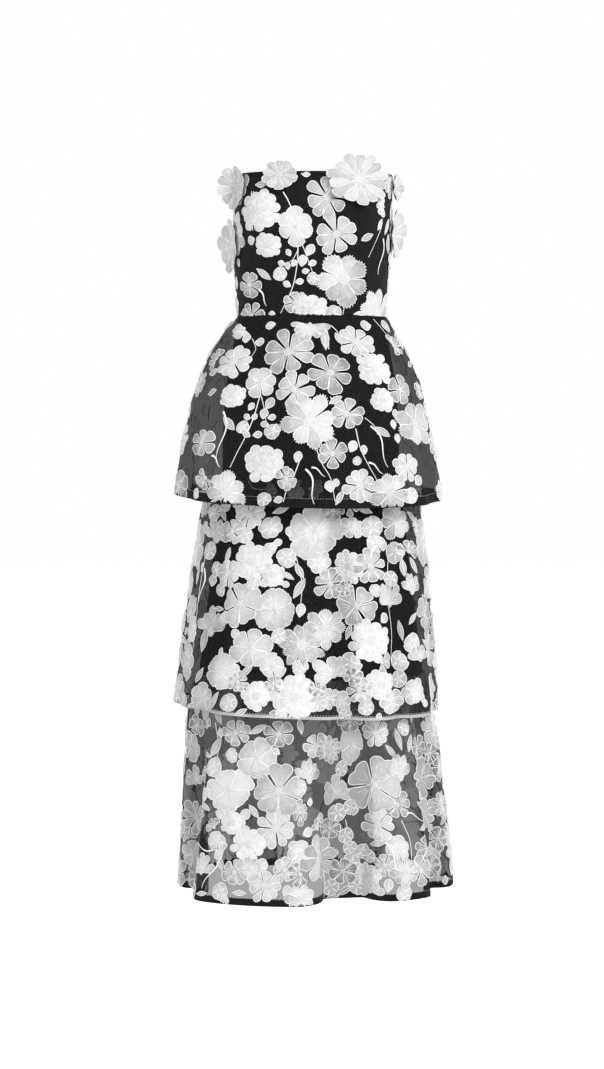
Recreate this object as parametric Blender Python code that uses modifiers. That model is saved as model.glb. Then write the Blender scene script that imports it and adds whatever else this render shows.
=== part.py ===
"""Strapless maxi dress with a fitted bodice, a slip and three hanging tiers.

Metres, +Z up. The origin is the middle of the waist, where the wearer holds the dress up.
The front faces -Y, and left and right are the wearer's, so the wearer's left is +X.
Angles go round the body in degrees: 0 at the front, 90 at the wearer's left, 180 at the back.
"""
import math

import bmesh
import bpy
import numpy as np
from mathutils import Vector

COLLECTION_NAME = "tiered_maxi_dress"

# Cloth, in metres
BODICE_WALL = 0.0020
SLIP_WALL = 0.0012
TIER_WALL = 0.0012
TURNED_HEM_WALL = 0.0018
TURNED_HEM_HEIGHT = 0.015
SEAM_GAP = 0.0003

# The fitted body, from above the top edge down to the slip's lower edge.
# left, right, front and back are how far the cloth's outer face is from the middle.
SECTION_COLUMNS = ("height", "left", "right", "front", "back")
BODY_SECTIONS = (
    (0.300, 0.138, 0.130, 0.114, 0.100),
    (0.245, 0.136, 0.127, 0.114, 0.099),
    (0.170, 0.137, 0.129, 0.113, 0.099),
    (0.080, 0.132, 0.128, 0.099, 0.093),
    (0.030, 0.127, 0.125, 0.093, 0.089),
    (0.000, 0.125, 0.1235, 0.091, 0.088),
    (-0.050, 0.133, 0.132, 0.096, 0.098),
    (-0.120, 0.144, 0.144, 0.103, 0.112),
    (-0.200, 0.149, 0.149, 0.106, 0.118),
    (-0.270, 0.151, 0.151, 0.108, 0.117),
    (-0.390, 0.165, 0.165, 0.121, 0.124),
    (-0.500, 0.178, 0.178, 0.134, 0.134),
    (-0.598, 0.190, 0.190, 0.145, 0.145),
)
SQUARENESS = 0.015

# The two cups that the bodice's seams shape
CUP_ANGLE = 36.0
CUP_HEIGHT = 0.165
CUP_SPREAD_ANGLE = 19.0
CUP_SPREAD_HEIGHT = 0.050
CUP_REACH = 0.009

# The bodice's top edge and its seams
TOP_EDGE_FRONT = 0.234
TOP_EDGE_SIDE = 0.236
TOP_EDGE_BACK = 0.212
PRINCESS_SEAM_ANGLE = 57.0
BACK_SEAM_ANGLE = 123.0

# The closure in the centre back
ZIP_WIDTH = 0.0054
ZIP_WALL = 0.0020
ZIP_TOP = 0.208
ZIP_BOTTOM = -0.180
SLIDER_HEIGHT = 0.197
SLIDER_SIZE = (0.0050, 0.0022, 0.0090)
BRIDGE_SIZE = (0.0014, 0.0030, 0.0062)
BRIDGE_EYE = (0.0016, 0.0030)
PULL_SIZE = (0.0050, 0.0009, 0.0200)
PULL_EYE = (0.0026, 0.0034)
PULL_TOP_BAR = 0.0010

# The three tiers. Each table goes down the cloth's outer face.
TIER_1_SECTIONS = (
    (0.000, 0.1265, 0.1250, 0.0930, 0.0900),
    (-0.021, 0.1390, 0.1440, 0.1030, 0.1030),
    (-0.041, 0.1500, 0.1570, 0.1130, 0.1140),
    (-0.071, 0.1656, 0.1740, 0.1240, 0.1270),
    (-0.112, 0.1825, 0.1910, 0.1370, 0.1400),
    (-0.163, 0.1940, 0.2060, 0.1490, 0.1510),
    (-0.203, 0.2045, 0.2146, 0.1560, 0.1580),
    (-0.244, 0.2130, 0.2230, 0.1630, 0.1650),
    (-0.300, 0.2220, 0.2305, 0.1710, 0.1720),
)
TIER_2_SECTIONS = (
    (-0.270, 0.1530, 0.1530, 0.1100, 0.1190),
    (-0.290, 0.1720, 0.1710, 0.1270, 0.1330),
    (-0.315, 0.1830, 0.1820, 0.1370, 0.1420),
    (-0.376, 0.1910, 0.1910, 0.1480, 0.1520),
    (-0.426, 0.1980, 0.1990, 0.1560, 0.1590),
    (-0.477, 0.2020, 0.2060, 0.1630, 0.1660),
    (-0.528, 0.2060, 0.2146, 0.1700, 0.1720),
    (-0.578, 0.2110, 0.2210, 0.1770, 0.1780),
    (-0.655, 0.2150, 0.2320, 0.1850, 0.1850),
)
TIER_3_SECTIONS = (
    (-0.598, 0.1905, 0.1905, 0.1455, 0.1455),
    (-0.625, 0.1985, 0.2010, 0.1500, 0.1500),
    (-0.660, 0.2055, 0.2090, 0.1540, 0.1540),
    (-0.730, 0.2180, 0.2130, 0.1590, 0.1600),
    (-0.781, 0.2230, 0.2160, 0.1620, 0.1640),
    (-0.832, 0.2300, 0.2190, 0.1650, 0.1680),
    (-0.883, 0.2360, 0.2210, 0.1670, 0.1710),
    (-0.960, 0.2430, 0.2255, 0.1700, 0.1740),
)

# The folds of each tier: the angle at a fold's middle, half its width in degrees, and how far
# its crest stands out at the hem. A fold that falls in has a negative reach.
TIER_1_FOLDS = (
    (-64, 8, -0.006), (-44, 9, 0.004), (-20, 9, -0.004), (6, 10, 0.004), (29, 8, -0.004),
    (49, 8, 0.004), (67, 7, -0.006), (112, 9, -0.008), (133, 9, 0.006), (155, 8, -0.008),
    (-157, 8, -0.007), (-135, 9, 0.006), (-113, 9, -0.008),
)
TIER_2_FOLDS = (
    (-52, 8, -0.010), (-30, 11, 0.006), (13.5, 5, -0.014), (28, 7, 0.006), (41, 5, -0.008),
    (57, 8, 0.005), (74, 6, -0.007), (103, 8, 0.005), (121, 7, -0.011), (139, 8, 0.007),
    (158, 7, -0.011), (179, 9, 0.007), (-160, 7, -0.010), (-140, 9, 0.007), (-119, 7, -0.011),
    (-73, 6, -0.006),
)
TIER_3_FOLDS = (
    (-25, 25, 0.034), (13, 12.5, -0.032), (39, 11, 0.018), (62, 10, -0.026), (-64, 11, -0.030),
    (113, 10, -0.022), (134, 10, 0.018), (157, 10, -0.024), (180, 11, 0.020), (-157, 10, -0.022),
    (-134, 10, 0.016), (-112, 9, -0.022),
)
FOLD_EDGE = 3.0
FOLD_ROLL = 0.0045
TIER_RADIUS = 0.20

# hem_tilt lowers the hem towards the wearer's left, and growth says how late the folds open
TIERS = {
    "tier_1": {"sections": TIER_1_SECTIONS, "folds": TIER_1_FOLDS, "hem_tilt": 0.022,
               "front_dip": 0.014, "growth": 1.2, "columns": 84, "rows": 7},
    "tier_2": {"sections": TIER_2_SECTIONS, "folds": TIER_2_FOLDS, "hem_tilt": 0.030,
               "front_dip": 0.002, "growth": 0.8, "columns": 96, "rows": 7},
    "tier_3": {"sections": TIER_3_SECTIONS, "folds": TIER_3_FOLDS, "hem_tilt": -0.006,
               "front_dip": 0.000, "growth": 0.9, "columns": 116, "rows": 7},
}

# Columns and rows of the fitted panels, for a whole turn and a whole height
BODICE_COLUMNS = 56
BODICE_ROWS = 8
SLIP_COLUMNS = 44
SLIP_ROWS = 7

# Loose flowers. across and up are radii, lift is how far the petal tips stand off the cloth,
# and heading is the direction in plan, in degrees from +X, that a free half points to.
FLOWER_COLUMNS = ("name", "angle", "height", "across", "up", "petals", "lift", "heading")
FLOWERS = (
    ("flower_top_left", 33.0, 0.2219, 0.057, 0.045, 14, 0.010, None),
    ("flower_top_centre", -22.0, 0.2280, 0.031, 0.026, 10, 0.007, None),
    ("flower_top_right", -70.0, 0.2130, 0.034, 0.039, 11, 0.007, 166.0),
    ("flower_side_left", 84.0, 0.2150, 0.028, 0.026, 8, 0.008, 58.0),
    ("flower_side_left_low", 88.0, 0.1400, 0.038, 0.046, 9, 0.007, 58.0),
    ("flower_side_right", -84.0, 0.1180, 0.040, 0.047, 9, 0.007, 124.0),
)
PETAL_WALL = 0.0012
PETAL_NOTCH = 0.26
PETAL_STEPS = 4
PETAL_CUP = 0.0015
FLOWER_CLEARANCE = 0.0005
FLOWER_RINGS = (0.32, 0.68, 1.0)

BLACK_CLOTH = (0.012, 0.012, 0.014, 1.0)
BLACK_NET = (0.030, 0.030, 0.033, 1.0)
WHITE_PETAL = (0.82, 0.82, 0.83, 1.0)
DARK_METAL = (0.050, 0.050, 0.055, 1.0)


def value_at(sections, height, column):
    """Read one column of a section table at a height, on a smooth curve through its rows."""
    heights = [row[0] for row in sections]
    values = [row[SECTION_COLUMNS.index(column)] for row in sections]
    height = min(max(height, heights[-1]), heights[0])
    last = len(heights) - 1
    upper = min(max(sum(1 for known in heights if known >= height) - 1, 0), last - 1)
    lower = upper + 1
    slopes = []
    for index in (upper, lower):
        before = max(index - 1, 0)
        after = min(index + 1, last)
        slopes.append((values[after] - values[before]) / (heights[after] - heights[before]))
    span = heights[lower] - heights[upper]
    part = (height - heights[upper]) / span
    start = (1 + 2 * part) * (1 - part) ** 2 * values[upper]
    end = part ** 2 * (3 - 2 * part) * values[lower]
    start_slope = part * (1 - part) ** 2 * span * slopes[0]
    end_slope = part ** 2 * (part - 1) * span * slopes[1]
    return start + end + start_slope + end_slope


def ring_point(sections, angle, height):
    """A point of a table's closed ring at this angle and height."""
    turn = math.radians(angle)
    side = value_at(sections, height, "left" if math.sin(turn) > 0 else "right")
    depth = value_at(sections, height, "front" if math.cos(turn) > 0 else "back")
    x = side * (math.sin(turn) + SQUARENESS * math.sin(3 * turn)) / (1 - SQUARENESS)
    y = -depth * (math.cos(turn) - SQUARENESS * math.cos(3 * turn)) / (1 - SQUARENESS)
    return Vector((x, y, height))


def ring_outward(sections, angle, height):
    """The level direction that points out of the ring at this angle."""
    ahead = ring_point(sections, angle + 0.5, height)
    behind = ring_point(sections, angle - 0.5, height)
    along = (ahead - behind).normalized()
    return Vector((along.y, -along.x, 0.0)), along


def bell(distance, spread):
    """A smooth hump of height one."""
    return math.exp(-((distance / spread) ** 2))


def body_point(angle, height):
    """A point of the fitted body's outer face, with the two cups of the bodice."""
    point = ring_point(BODY_SECTIONS, angle, height)
    outward, _ = ring_outward(BODY_SECTIONS, angle, height)
    across = bell(abs(angle) - CUP_ANGLE, CUP_SPREAD_ANGLE)
    reach = CUP_REACH * across * bell(height - CUP_HEIGHT, CUP_SPREAD_HEIGHT)
    return point + outward * reach


def top_edge(angle):
    """The height of the bodice's top edge."""
    turn = math.radians(angle)
    end = TOP_EDGE_FRONT if math.cos(turn) > 0 else TOP_EDGE_BACK
    return TOP_EDGE_SIDE + (end - TOP_EDGE_SIDE) * math.cos(turn) ** 2


def fold_reach(folds, angle):
    """How far the hem stands out of its ring at this angle."""
    reach = 0.0
    for middle, half_width, height in folds:
        away = (angle - middle + 180.0) % 360.0 - 180.0
        rise = math.tanh((away + half_width) / FOLD_EDGE)
        fall = math.tanh((away - half_width) / FOLD_EDGE)
        reach += height * 0.5 * (rise - fall)
    return reach


def tier_point(name, angle, height):
    """A point of a tier's outer face. Its crests roll outward, as hanging folds do."""
    tier = TIERS[name]
    sections = tier["sections"]
    top = sections[0][0]
    hem = sections[-1][0]
    drop = (top - height) / (top - hem)
    opening = drop ** tier["growth"]
    point = ring_point(sections, angle, height)
    outward, along = ring_outward(sections, angle, height)
    reach = fold_reach(tier["folds"], angle)
    slope = fold_reach(tier["folds"], angle + 0.5) - fold_reach(tier["folds"], angle - 0.5)
    slope_per_radian = slope / math.radians(1.0)
    point += outward * reach * opening
    point -= along * slope_per_radian * FOLD_ROLL / TIER_RADIUS * opening ** 2
    dip = tier["front_dip"] * max(math.cos(math.radians(angle)), 0.0)
    point.z -= (tier["hem_tilt"] * point.x + dip) * drop ** 2
    return point


def new_material(name, colour, roughness, metallic=0.0):
    """A plain finish for one object."""
    material = bpy.data.materials.new(name)
    material.use_nodes = True
    shader = material.node_tree.nodes["Principled BSDF"]
    shader.inputs["Base Color"].default_value = colour
    shader.inputs["Roughness"].default_value = roughness
    shader.inputs["Metallic"].default_value = metallic
    return material


def add_object(name, mesh, material, collection):
    """Place a mesh in the dress's collection with its own finish."""
    piece = bpy.data.objects.new(name, mesh)
    piece.data.materials.append(material)
    collection.objects.link(piece)
    return piece


def grid_mesh(name, rows):
    """A sheet through rows of points, with its faces pointing out of the body."""
    mesh = bpy.data.meshes.new(name)
    columns = len(rows[0])
    points = [tuple(point) for row in rows for point in row]
    faces = []
    for row in range(len(rows) - 1):
        for column in range(columns - 1):
            corner = row * columns + column
            faces.append((corner, corner + columns, corner + columns + 1, corner + 1))
    mesh.from_pydata(points, [], faces)
    mesh.shade_smooth()
    return mesh


def thicken(piece, wall):
    """Give a sheet its cloth thickness, inward from its outer face."""
    solid = piece.modifiers.new("cloth_wall", "SOLIDIFY")
    solid.thickness = wall
    solid.offset = -1.0
    return solid


def edge_angle(angle, side, height, surface):
    """Move a panel's edge back from its seam, by half the gap or by half the zip."""
    half_gap = SEAM_GAP / 2
    at_zip = abs(abs(angle) - 180.0) < 0.01
    if at_zip and surface == "body" and height > ZIP_BOTTOM:
        half_gap = ZIP_WIDTH / 2 + SEAM_GAP
    radius = TIER_RADIUS if surface != "body" else value_at(BODY_SECTIONS, height, "back")
    return angle - side * math.degrees(half_gap / radius)


def panel_rows(start, end, columns, heights, surface):
    """Rows of points of a panel from one seam to the next. heights takes an angle."""
    count = max(3, round(columns * (end - start) / 360.0))
    rows = []
    for step in range(len(heights(start))):
        row = []
        for column in range(count + 1):
            part = column / count
            nominal = start + (end - start) * part
            height = heights(nominal)[step]
            low = edge_angle(start, -1, height, surface)
            high = edge_angle(end, 1, height, surface)
            angle = low + (high - low) * part
            if surface == "body":
                row.append(body_point(angle, height))
            else:
                row.append(tier_point(surface, angle, height))
        rows.append(row)
    return rows


def bodice_heights(angle):
    """Heights of the bodice's rows, from the top edge to the waist seam."""
    return np.linspace(top_edge(angle), SEAM_GAP / 2, BODICE_ROWS + 1)


def slip_heights(_):
    """Heights of the slip's rows, with one at the end of the zip."""
    bottom = BODY_SECTIONS[-1][0] + SEAM_GAP / 2
    upper = np.linspace(-SEAM_GAP / 2, ZIP_BOTTOM + 0.0005, 3)
    lower = np.linspace(ZIP_BOTTOM - 0.0005, bottom, SLIP_ROWS - 2)
    return np.concatenate([upper, lower])


def tier_heights(name):
    """Heights of a tier's rows: even ones, and one where the turned hem starts."""
    top = TIERS[name]["sections"][0][0] - SEAM_GAP / 2
    hem = TIERS[name]["sections"][-1][0]
    upper = np.linspace(top, hem + TURNED_HEM_HEIGHT, TIERS[name]["rows"])
    return np.append(upper, hem)


def make_bodice(collection):
    """Five panels between the princess seams, the back seams and the zip."""
    panels = (
        ("bodice_front", -PRINCESS_SEAM_ANGLE, PRINCESS_SEAM_ANGLE),
        ("bodice_side_left", PRINCESS_SEAM_ANGLE, BACK_SEAM_ANGLE),
        ("bodice_side_right", -BACK_SEAM_ANGLE, -PRINCESS_SEAM_ANGLE),
        ("bodice_back_left", BACK_SEAM_ANGLE, 180.0),
        ("bodice_back_right", -180.0, -BACK_SEAM_ANGLE),
    )
    for name, start, end in panels:
        rows = panel_rows(start, end, BODICE_COLUMNS, bodice_heights, "body")
        material = new_material(name, BLACK_CLOTH, 0.7)
        thicken(add_object(name, grid_mesh(name, rows), material, collection), BODICE_WALL)


def make_slip(collection):
    """The slip's front and two backs, which meet below the zip."""
    panels = (
        ("slip_front", -90.0, 90.0),
        ("slip_back_left", 90.0, 180.0),
        ("slip_back_right", -180.0, -90.0),
    )
    for name, start, end in panels:
        rows = panel_rows(start, end, SLIP_COLUMNS, slip_heights, "body")
        material = new_material(name, BLACK_CLOTH, 0.6)
        thicken(add_object(name, grid_mesh(name, rows), material, collection), SLIP_WALL)


def make_tier(name, panels, collection):
    """One hanging tier, with a hem that is turned up and so is thicker."""
    heights = tier_heights(name)
    for panel, start, end in panels:
        rows = panel_rows(start, end, TIERS[name]["columns"], lambda _: heights, name)
        material = new_material(panel, BLACK_NET, 0.6)
        piece = add_object(panel, grid_mesh(panel, rows), material, collection)
        solid = thicken(piece, TURNED_HEM_WALL)
        columns = len(rows[0])
        wall_share = piece.vertex_groups.new(name="wall_share")
        plain = list(range(columns * (len(rows) - 2)))
        turned = list(range(columns * (len(rows) - 2), columns * len(rows)))
        wall_share.add(plain, TIER_WALL / TURNED_HEM_WALL, "REPLACE")
        wall_share.add(turned, 1.0, "REPLACE")
        solid.vertex_group = wall_share.name


def make_tiers(collection):
    """Three tiers. The first opens down the centre back, over the zip."""
    make_tier("tier_1", (("tier_1_front", -90.0, 90.0), ("tier_1_back_left", 90.0, 180.0),
                         ("tier_1_back_right", -180.0, -90.0)), collection)
    make_tier("tier_2", (("tier_2_front", -90.0, 90.0), ("tier_2_back", 90.0, 270.0)), collection)
    make_tier("tier_3", (("tier_3_front", -90.0, 90.0), ("tier_3_back", 90.0, 270.0)), collection)


def make_zip_tape(collection):
    """The closed zip between the back panels, from the top edge to below the waist."""
    rows = []
    for height in np.linspace(ZIP_TOP, ZIP_BOTTOM + 0.0012, 17):
        middle = body_point(180.0, height)
        half = Vector((ZIP_WIDTH / 2, 0.0, 0.0))
        rows.append([middle + half, middle - half])
    material = new_material("zip_tape", BLACK_CLOTH, 0.5)
    thicken(add_object("zip_tape", grid_mesh("zip_tape", rows), material, collection), ZIP_WALL)


def box_mesh(name, size, centre):
    """A box of a given size about a centre."""
    mesh = bpy.data.meshes.new(name)
    shape = bmesh.new()
    bmesh.ops.create_cube(shape, size=1.0)
    bmesh.ops.scale(shape, vec=size, verts=shape.verts)
    bmesh.ops.translate(shape, vec=centre, verts=shape.verts)
    shape.to_mesh(mesh)
    shape.free()
    return mesh


def add_cutter(name, size, centre, cutters):
    """A box that only cuts."""
    cutter = bpy.data.objects.new(name, box_mesh(name, size, centre))
    cutter.hide_render = True
    cutter.display_type = "WIRE"
    cutters.objects.link(cutter)
    return cutter


def combine(piece, other, operation):
    """Join or cut a piece with another object."""
    change = piece.modifiers.new(other.name, "BOOLEAN")
    change.operation = operation
    change.object = other


def pull_axis():
    """The line that the zip pull swings about: the middle of the slider's eye."""
    face = body_point(180.0, SLIDER_HEIGHT).y + SEAM_GAP + SLIDER_SIZE[1]
    return Vector((0.0, face + BRIDGE_EYE[0] / 2, SLIDER_HEIGHT))


def make_zip_slider(collection, cutters):
    """The slider's body with a bridge on it, which leaves an eye for the pull."""
    axis = pull_axis()
    face = axis.y - BRIDGE_EYE[0] / 2
    body_centre = (0.0, face - SLIDER_SIZE[1] / 2, SLIDER_HEIGHT)
    material = new_material("zip_slider", DARK_METAL, 0.35, 1.0)
    slider = add_object("zip_slider", box_mesh("zip_slider", SLIDER_SIZE, body_centre),
                        material, collection)
    sunk = 0.0004
    bridge_size = (BRIDGE_SIZE[0], BRIDGE_SIZE[1] + sunk, BRIDGE_SIZE[2])
    bridge_centre = (0.0, face - sunk + bridge_size[1] / 2, SLIDER_HEIGHT)
    bridge = add_cutter("zip_bridge", bridge_size, bridge_centre, cutters)
    eye_size = (SLIDER_SIZE[0], BRIDGE_EYE[0], BRIDGE_EYE[1])
    eye = add_cutter("zip_bridge_eye", eye_size, axis, cutters)
    combine(slider, bridge, "UNION")
    combine(slider, eye, "DIFFERENCE")


def make_zip_pull(collection, cutters):
    """The pull: a plate that hangs from the slider's eye by its top bar."""
    axis = pull_axis()
    top = axis.z + PULL_TOP_BAR / 2
    centre = (0.0, axis.y, top - PULL_SIZE[2] / 2)
    material = new_material("zip_pull", DARK_METAL, 0.35, 1.0)
    pull = add_object("zip_pull", box_mesh("zip_pull", PULL_SIZE, centre), material, collection)
    eye_size = (PULL_EYE[0], PULL_SIZE[1] * 3, PULL_EYE[1])
    eye_centre = (0.0, axis.y, top - PULL_TOP_BAR - PULL_EYE[1] / 2)
    combine(pull, add_cutter("zip_pull_eye", eye_size, eye_centre, cutters), "DIFFERENCE")


def petal_outline(turn, petals):
    """The share of a flower's radius that its edge reaches: full at a tip, less at a notch."""
    step = 2 * math.pi / petals
    from_tip = abs((turn + step / 2) % step - step / 2) / (step / 2)
    return 1.0 - PETAL_NOTCH * from_tip ** 3


def flower_base(flower, across, up):
    """The point of the cloth under a flower's point, or of its free half beside the body."""
    angle = flower["angle"]
    height = flower["height"]
    free_side = math.copysign(1.0, angle)
    if flower["heading"] is not None and across * free_side > 0:
        centre = body_point(angle, height + up)
        heading = math.radians(flower["heading"])
        direction = Vector((math.cos(heading), math.sin(heading), 0.0))
        outward = Vector((direction.y, -direction.x, 0.0)) * free_side
        return centre + direction * abs(across), outward
    near = (body_point(angle + 1.0, height) - body_point(angle - 1.0, height)).length / 2
    there = angle + across / near
    outward, _ = ring_outward(BODY_SECTIONS, there, height + up)
    return body_point(there, height + up), outward


def flower_point(flower, radius_share, turn):
    """A point of a flower's outer face, which rises off the cloth towards the petal tips."""
    across = flower["across"] * radius_share * math.cos(turn)
    up = flower["up"] * radius_share * math.sin(turn)
    base, outward = flower_base(flower, across, up)
    ripple = PETAL_CUP * radius_share ** 2 * math.cos(turn * flower["petals"])
    lift = flower["lift"] * radius_share ** 2
    return base + outward * (FLOWER_CLEARANCE + PETAL_WALL + lift + ripple)


def make_flower(flower, collection):
    """A flower of petals in one piece: rings round a middle point, thickened towards the cloth."""
    petals = flower["petals"]
    around = petals * PETAL_STEPS
    points = [flower_point(flower, 0.0, 0.0)]
    for ring in FLOWER_RINGS:
        for step in range(around):
            turn = 2 * math.pi * step / around
            share = ring * petal_outline(turn, petals) ** (ring ** 2)
            points.append(flower_point(flower, share, turn))
    faces = []
    for step in range(around):
        after = (step + 1) % around
        faces.append((0, 1 + step, 1 + after))
        for ring in range(len(FLOWER_RINGS) - 1):
            inner = 1 + ring * around
            outer = inner + around
            faces.append((inner + step, outer + step, outer + after, inner + after))
    mesh = bpy.data.meshes.new(flower["name"])
    mesh.from_pydata([tuple(point) for point in points], [], faces)
    mesh.shade_smooth()
    material = new_material(flower["name"], WHITE_PETAL, 0.6)
    thicken(add_object(flower["name"], mesh, material, collection), PETAL_WALL)


def make_flowers(collection):
    """The loose flowers of the top edge and the sides."""
    for row in FLOWERS:
        make_flower(dict(zip(FLOWER_COLUMNS, row)), collection)


def clear_scene():
    """Start from an empty scene."""
    for old in list(bpy.data.objects):
        bpy.data.objects.remove(old, do_unlink=True)


def new_collection(name):
    """A collection in the scene."""
    collection = bpy.data.collections.new(name)
    bpy.context.scene.collection.children.link(collection)
    return collection


def main():
    clear_scene()
    dress = new_collection(COLLECTION_NAME)
    cutters = new_collection("cutters")
    make_bodice(dress)
    make_slip(dress)
    make_tiers(dress)
    make_zip_tape(dress)
    make_zip_slider(dress, cutters)
    make_zip_pull(dress, cutters)
    make_flowers(dress)


main()
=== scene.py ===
# %% [markdown]
# # A strapless tiered maxi dress in embroidered net
# The dress is a fitted bodice over a black slip, with three tiers of sheer black net hanging
# round it. White flowers are embroidered all over, and loose organza flowers stand on the top
# edge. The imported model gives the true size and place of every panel, so this file dresses it.

# %% Load the frame
import math

import bpy
import numpy as np
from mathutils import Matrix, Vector


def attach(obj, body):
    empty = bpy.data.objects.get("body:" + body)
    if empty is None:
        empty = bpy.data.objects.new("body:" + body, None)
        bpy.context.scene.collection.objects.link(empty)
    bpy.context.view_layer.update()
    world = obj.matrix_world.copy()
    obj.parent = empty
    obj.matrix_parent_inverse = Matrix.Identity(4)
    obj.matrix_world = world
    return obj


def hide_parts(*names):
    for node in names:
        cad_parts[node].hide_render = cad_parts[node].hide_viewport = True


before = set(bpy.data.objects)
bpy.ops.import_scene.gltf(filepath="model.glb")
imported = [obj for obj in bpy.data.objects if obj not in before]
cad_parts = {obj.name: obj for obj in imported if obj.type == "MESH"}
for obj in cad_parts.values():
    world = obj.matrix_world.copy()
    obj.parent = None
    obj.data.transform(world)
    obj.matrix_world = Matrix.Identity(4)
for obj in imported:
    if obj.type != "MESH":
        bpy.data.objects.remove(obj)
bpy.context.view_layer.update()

# %% [markdown]
# ## The camera
# The photograph was taken from about four metres, a little below the waist. Its horizon lies
# above the middle of the picture, so the camera looks down a few degrees. The same numbers let
# us place a flower by the pixel where the photograph shows it.

# %% Camera
PHOTO_WIDTH = 604
PHOTO_HEIGHT = 1069
HORIZON_ROW = 400
FOCAL_PIXELS = 2367.0
SENSOR = 36.0
camera_place = np.array([-0.015, -4.0, -0.139])
camera_pitch = math.atan((PHOTO_HEIGHT / 2 - HORIZON_ROW) / FOCAL_PIXELS)

camera_data = bpy.data.cameras.new("photo_camera")
camera_data.sensor_width = SENSOR
camera_data.lens = FOCAL_PIXELS * SENSOR / PHOTO_HEIGHT
camera = bpy.data.objects.new("photo_camera", camera_data)
camera.location = camera_place
camera.rotation_euler = (math.pi / 2 - camera_pitch, 0.0, 0.0)
bpy.context.scene.collection.objects.link(camera)
bpy.context.scene.camera = camera
print("lens", round(camera_data.lens, 1), "mm, pitch", round(math.degrees(camera_pitch), 2))


def photo_pixels(points):
    """The photograph's pixel of each point, as columns and rows."""
    away = points - camera_place
    ahead = away[..., 1] * math.cos(camera_pitch) - away[..., 2] * math.sin(camera_pitch)
    rise = away[..., 2] * math.cos(camera_pitch) + away[..., 1] * math.sin(camera_pitch)
    column = PHOTO_WIDTH / 2 + FOCAL_PIXELS * away[..., 0] / ahead
    row = PHOTO_HEIGHT / 2 - FOCAL_PIXELS * rise / ahead
    return np.stack([column, row], axis=-1)


# %% [markdown]
# ## The form of the cloth
# Every panel lies on a few level rings. A ring is nearly an ellipse whose reach to the left,
# right, front and back comes from a short table, and a smooth curve joins the rows. The tiers
# also have folds: each is a soft plateau that stands out or falls in, and opens towards the hem.

# %% Sections of the dress, in metres from the waist
COLUMNS = ("height", "left", "right", "front", "back")
SQUARENESS = 0.015
# a direction is read this many degrees either side of its point
NEAR_ANGLE = 0.5
BODY_SECTIONS = (
    (0.300, 0.138, 0.130, 0.114, 0.100),
    (0.245, 0.136, 0.127, 0.114, 0.099),
    (0.170, 0.137, 0.129, 0.113, 0.099),
    (0.080, 0.132, 0.128, 0.099, 0.093),
    (0.030, 0.127, 0.125, 0.093, 0.089),
    (0.000, 0.125, 0.1235, 0.091, 0.088),
    (-0.050, 0.133, 0.132, 0.096, 0.098),
    (-0.120, 0.144, 0.144, 0.103, 0.112),
    (-0.200, 0.149, 0.149, 0.106, 0.118),
    (-0.270, 0.151, 0.151, 0.108, 0.117),
    (-0.390, 0.165, 0.165, 0.121, 0.124),
    (-0.500, 0.178, 0.178, 0.134, 0.134),
    (-0.598, 0.190, 0.190, 0.145, 0.145),
)
TIER_SECTIONS = {
    "tier_1": (
        (0.000, 0.1265, 0.1250, 0.0930, 0.0900),
        (-0.021, 0.1390, 0.1440, 0.1030, 0.1030),
        (-0.041, 0.1500, 0.1570, 0.1130, 0.1140),
        (-0.071, 0.1656, 0.1740, 0.1240, 0.1270),
        (-0.112, 0.1825, 0.1910, 0.1370, 0.1400),
        (-0.163, 0.1940, 0.2060, 0.1490, 0.1510),
        (-0.203, 0.2045, 0.2146, 0.1560, 0.1580),
        (-0.244, 0.2130, 0.2230, 0.1630, 0.1650),
        (-0.300, 0.2220, 0.2305, 0.1710, 0.1720),
    ),
    "tier_2": (
        (-0.270, 0.1530, 0.1530, 0.1100, 0.1190),
        (-0.290, 0.1720, 0.1710, 0.1270, 0.1330),
        (-0.315, 0.1830, 0.1820, 0.1370, 0.1420),
        (-0.376, 0.1910, 0.1910, 0.1480, 0.1520),
        (-0.426, 0.1980, 0.1990, 0.1560, 0.1590),
        (-0.477, 0.2020, 0.2060, 0.1630, 0.1660),
        (-0.528, 0.2060, 0.2146, 0.1700, 0.1720),
        (-0.578, 0.2110, 0.2210, 0.1770, 0.1780),
        (-0.655, 0.2150, 0.2320, 0.1850, 0.1850),
    ),
    "tier_3": (
        (-0.598, 0.1905, 0.1905, 0.1455, 0.1455),
        (-0.625, 0.1985, 0.2010, 0.1500, 0.1500),
        (-0.660, 0.2055, 0.2090, 0.1540, 0.1540),
        (-0.730, 0.2180, 0.2130, 0.1590, 0.1600),
        (-0.781, 0.2230, 0.2160, 0.1620, 0.1640),
        (-0.832, 0.2300, 0.2190, 0.1650, 0.1680),
        (-0.883, 0.2360, 0.2210, 0.1670, 0.1710),
        (-0.960, 0.2430, 0.2255, 0.1700, 0.1740),
    ),
}


def smooth_column(sections, column, heights):
    """Read a column of a section table at many heights, on a smooth curve through its rows."""
    known = np.array([row[0] for row in sections])[::-1]
    values = np.array([row[COLUMNS.index(column)] for row in sections])[::-1]
    slopes = np.empty_like(values)
    slopes[1:-1] = (values[2:] - values[:-2]) / (known[2:] - known[:-2])
    slopes[0] = (values[1] - values[0]) / (known[1] - known[0])
    slopes[-1] = (values[-1] - values[-2]) / (known[-1] - known[-2])
    heights = np.clip(heights, known[0], known[-1])
    low = np.clip(np.searchsorted(known, heights, side="right") - 1, 0, len(known) - 2)
    span = known[low + 1] - known[low]
    part = (heights - known[low]) / span
    start = (1 + 2 * part) * (1 - part) ** 2 * values[low]
    end = part ** 2 * (3 - 2 * part) * values[low + 1]
    leave = part * (1 - part) ** 2 * span * slopes[low]
    arrive = part ** 2 * (part - 1) * span * slopes[low + 1]
    return start + end + leave + arrive


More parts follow.
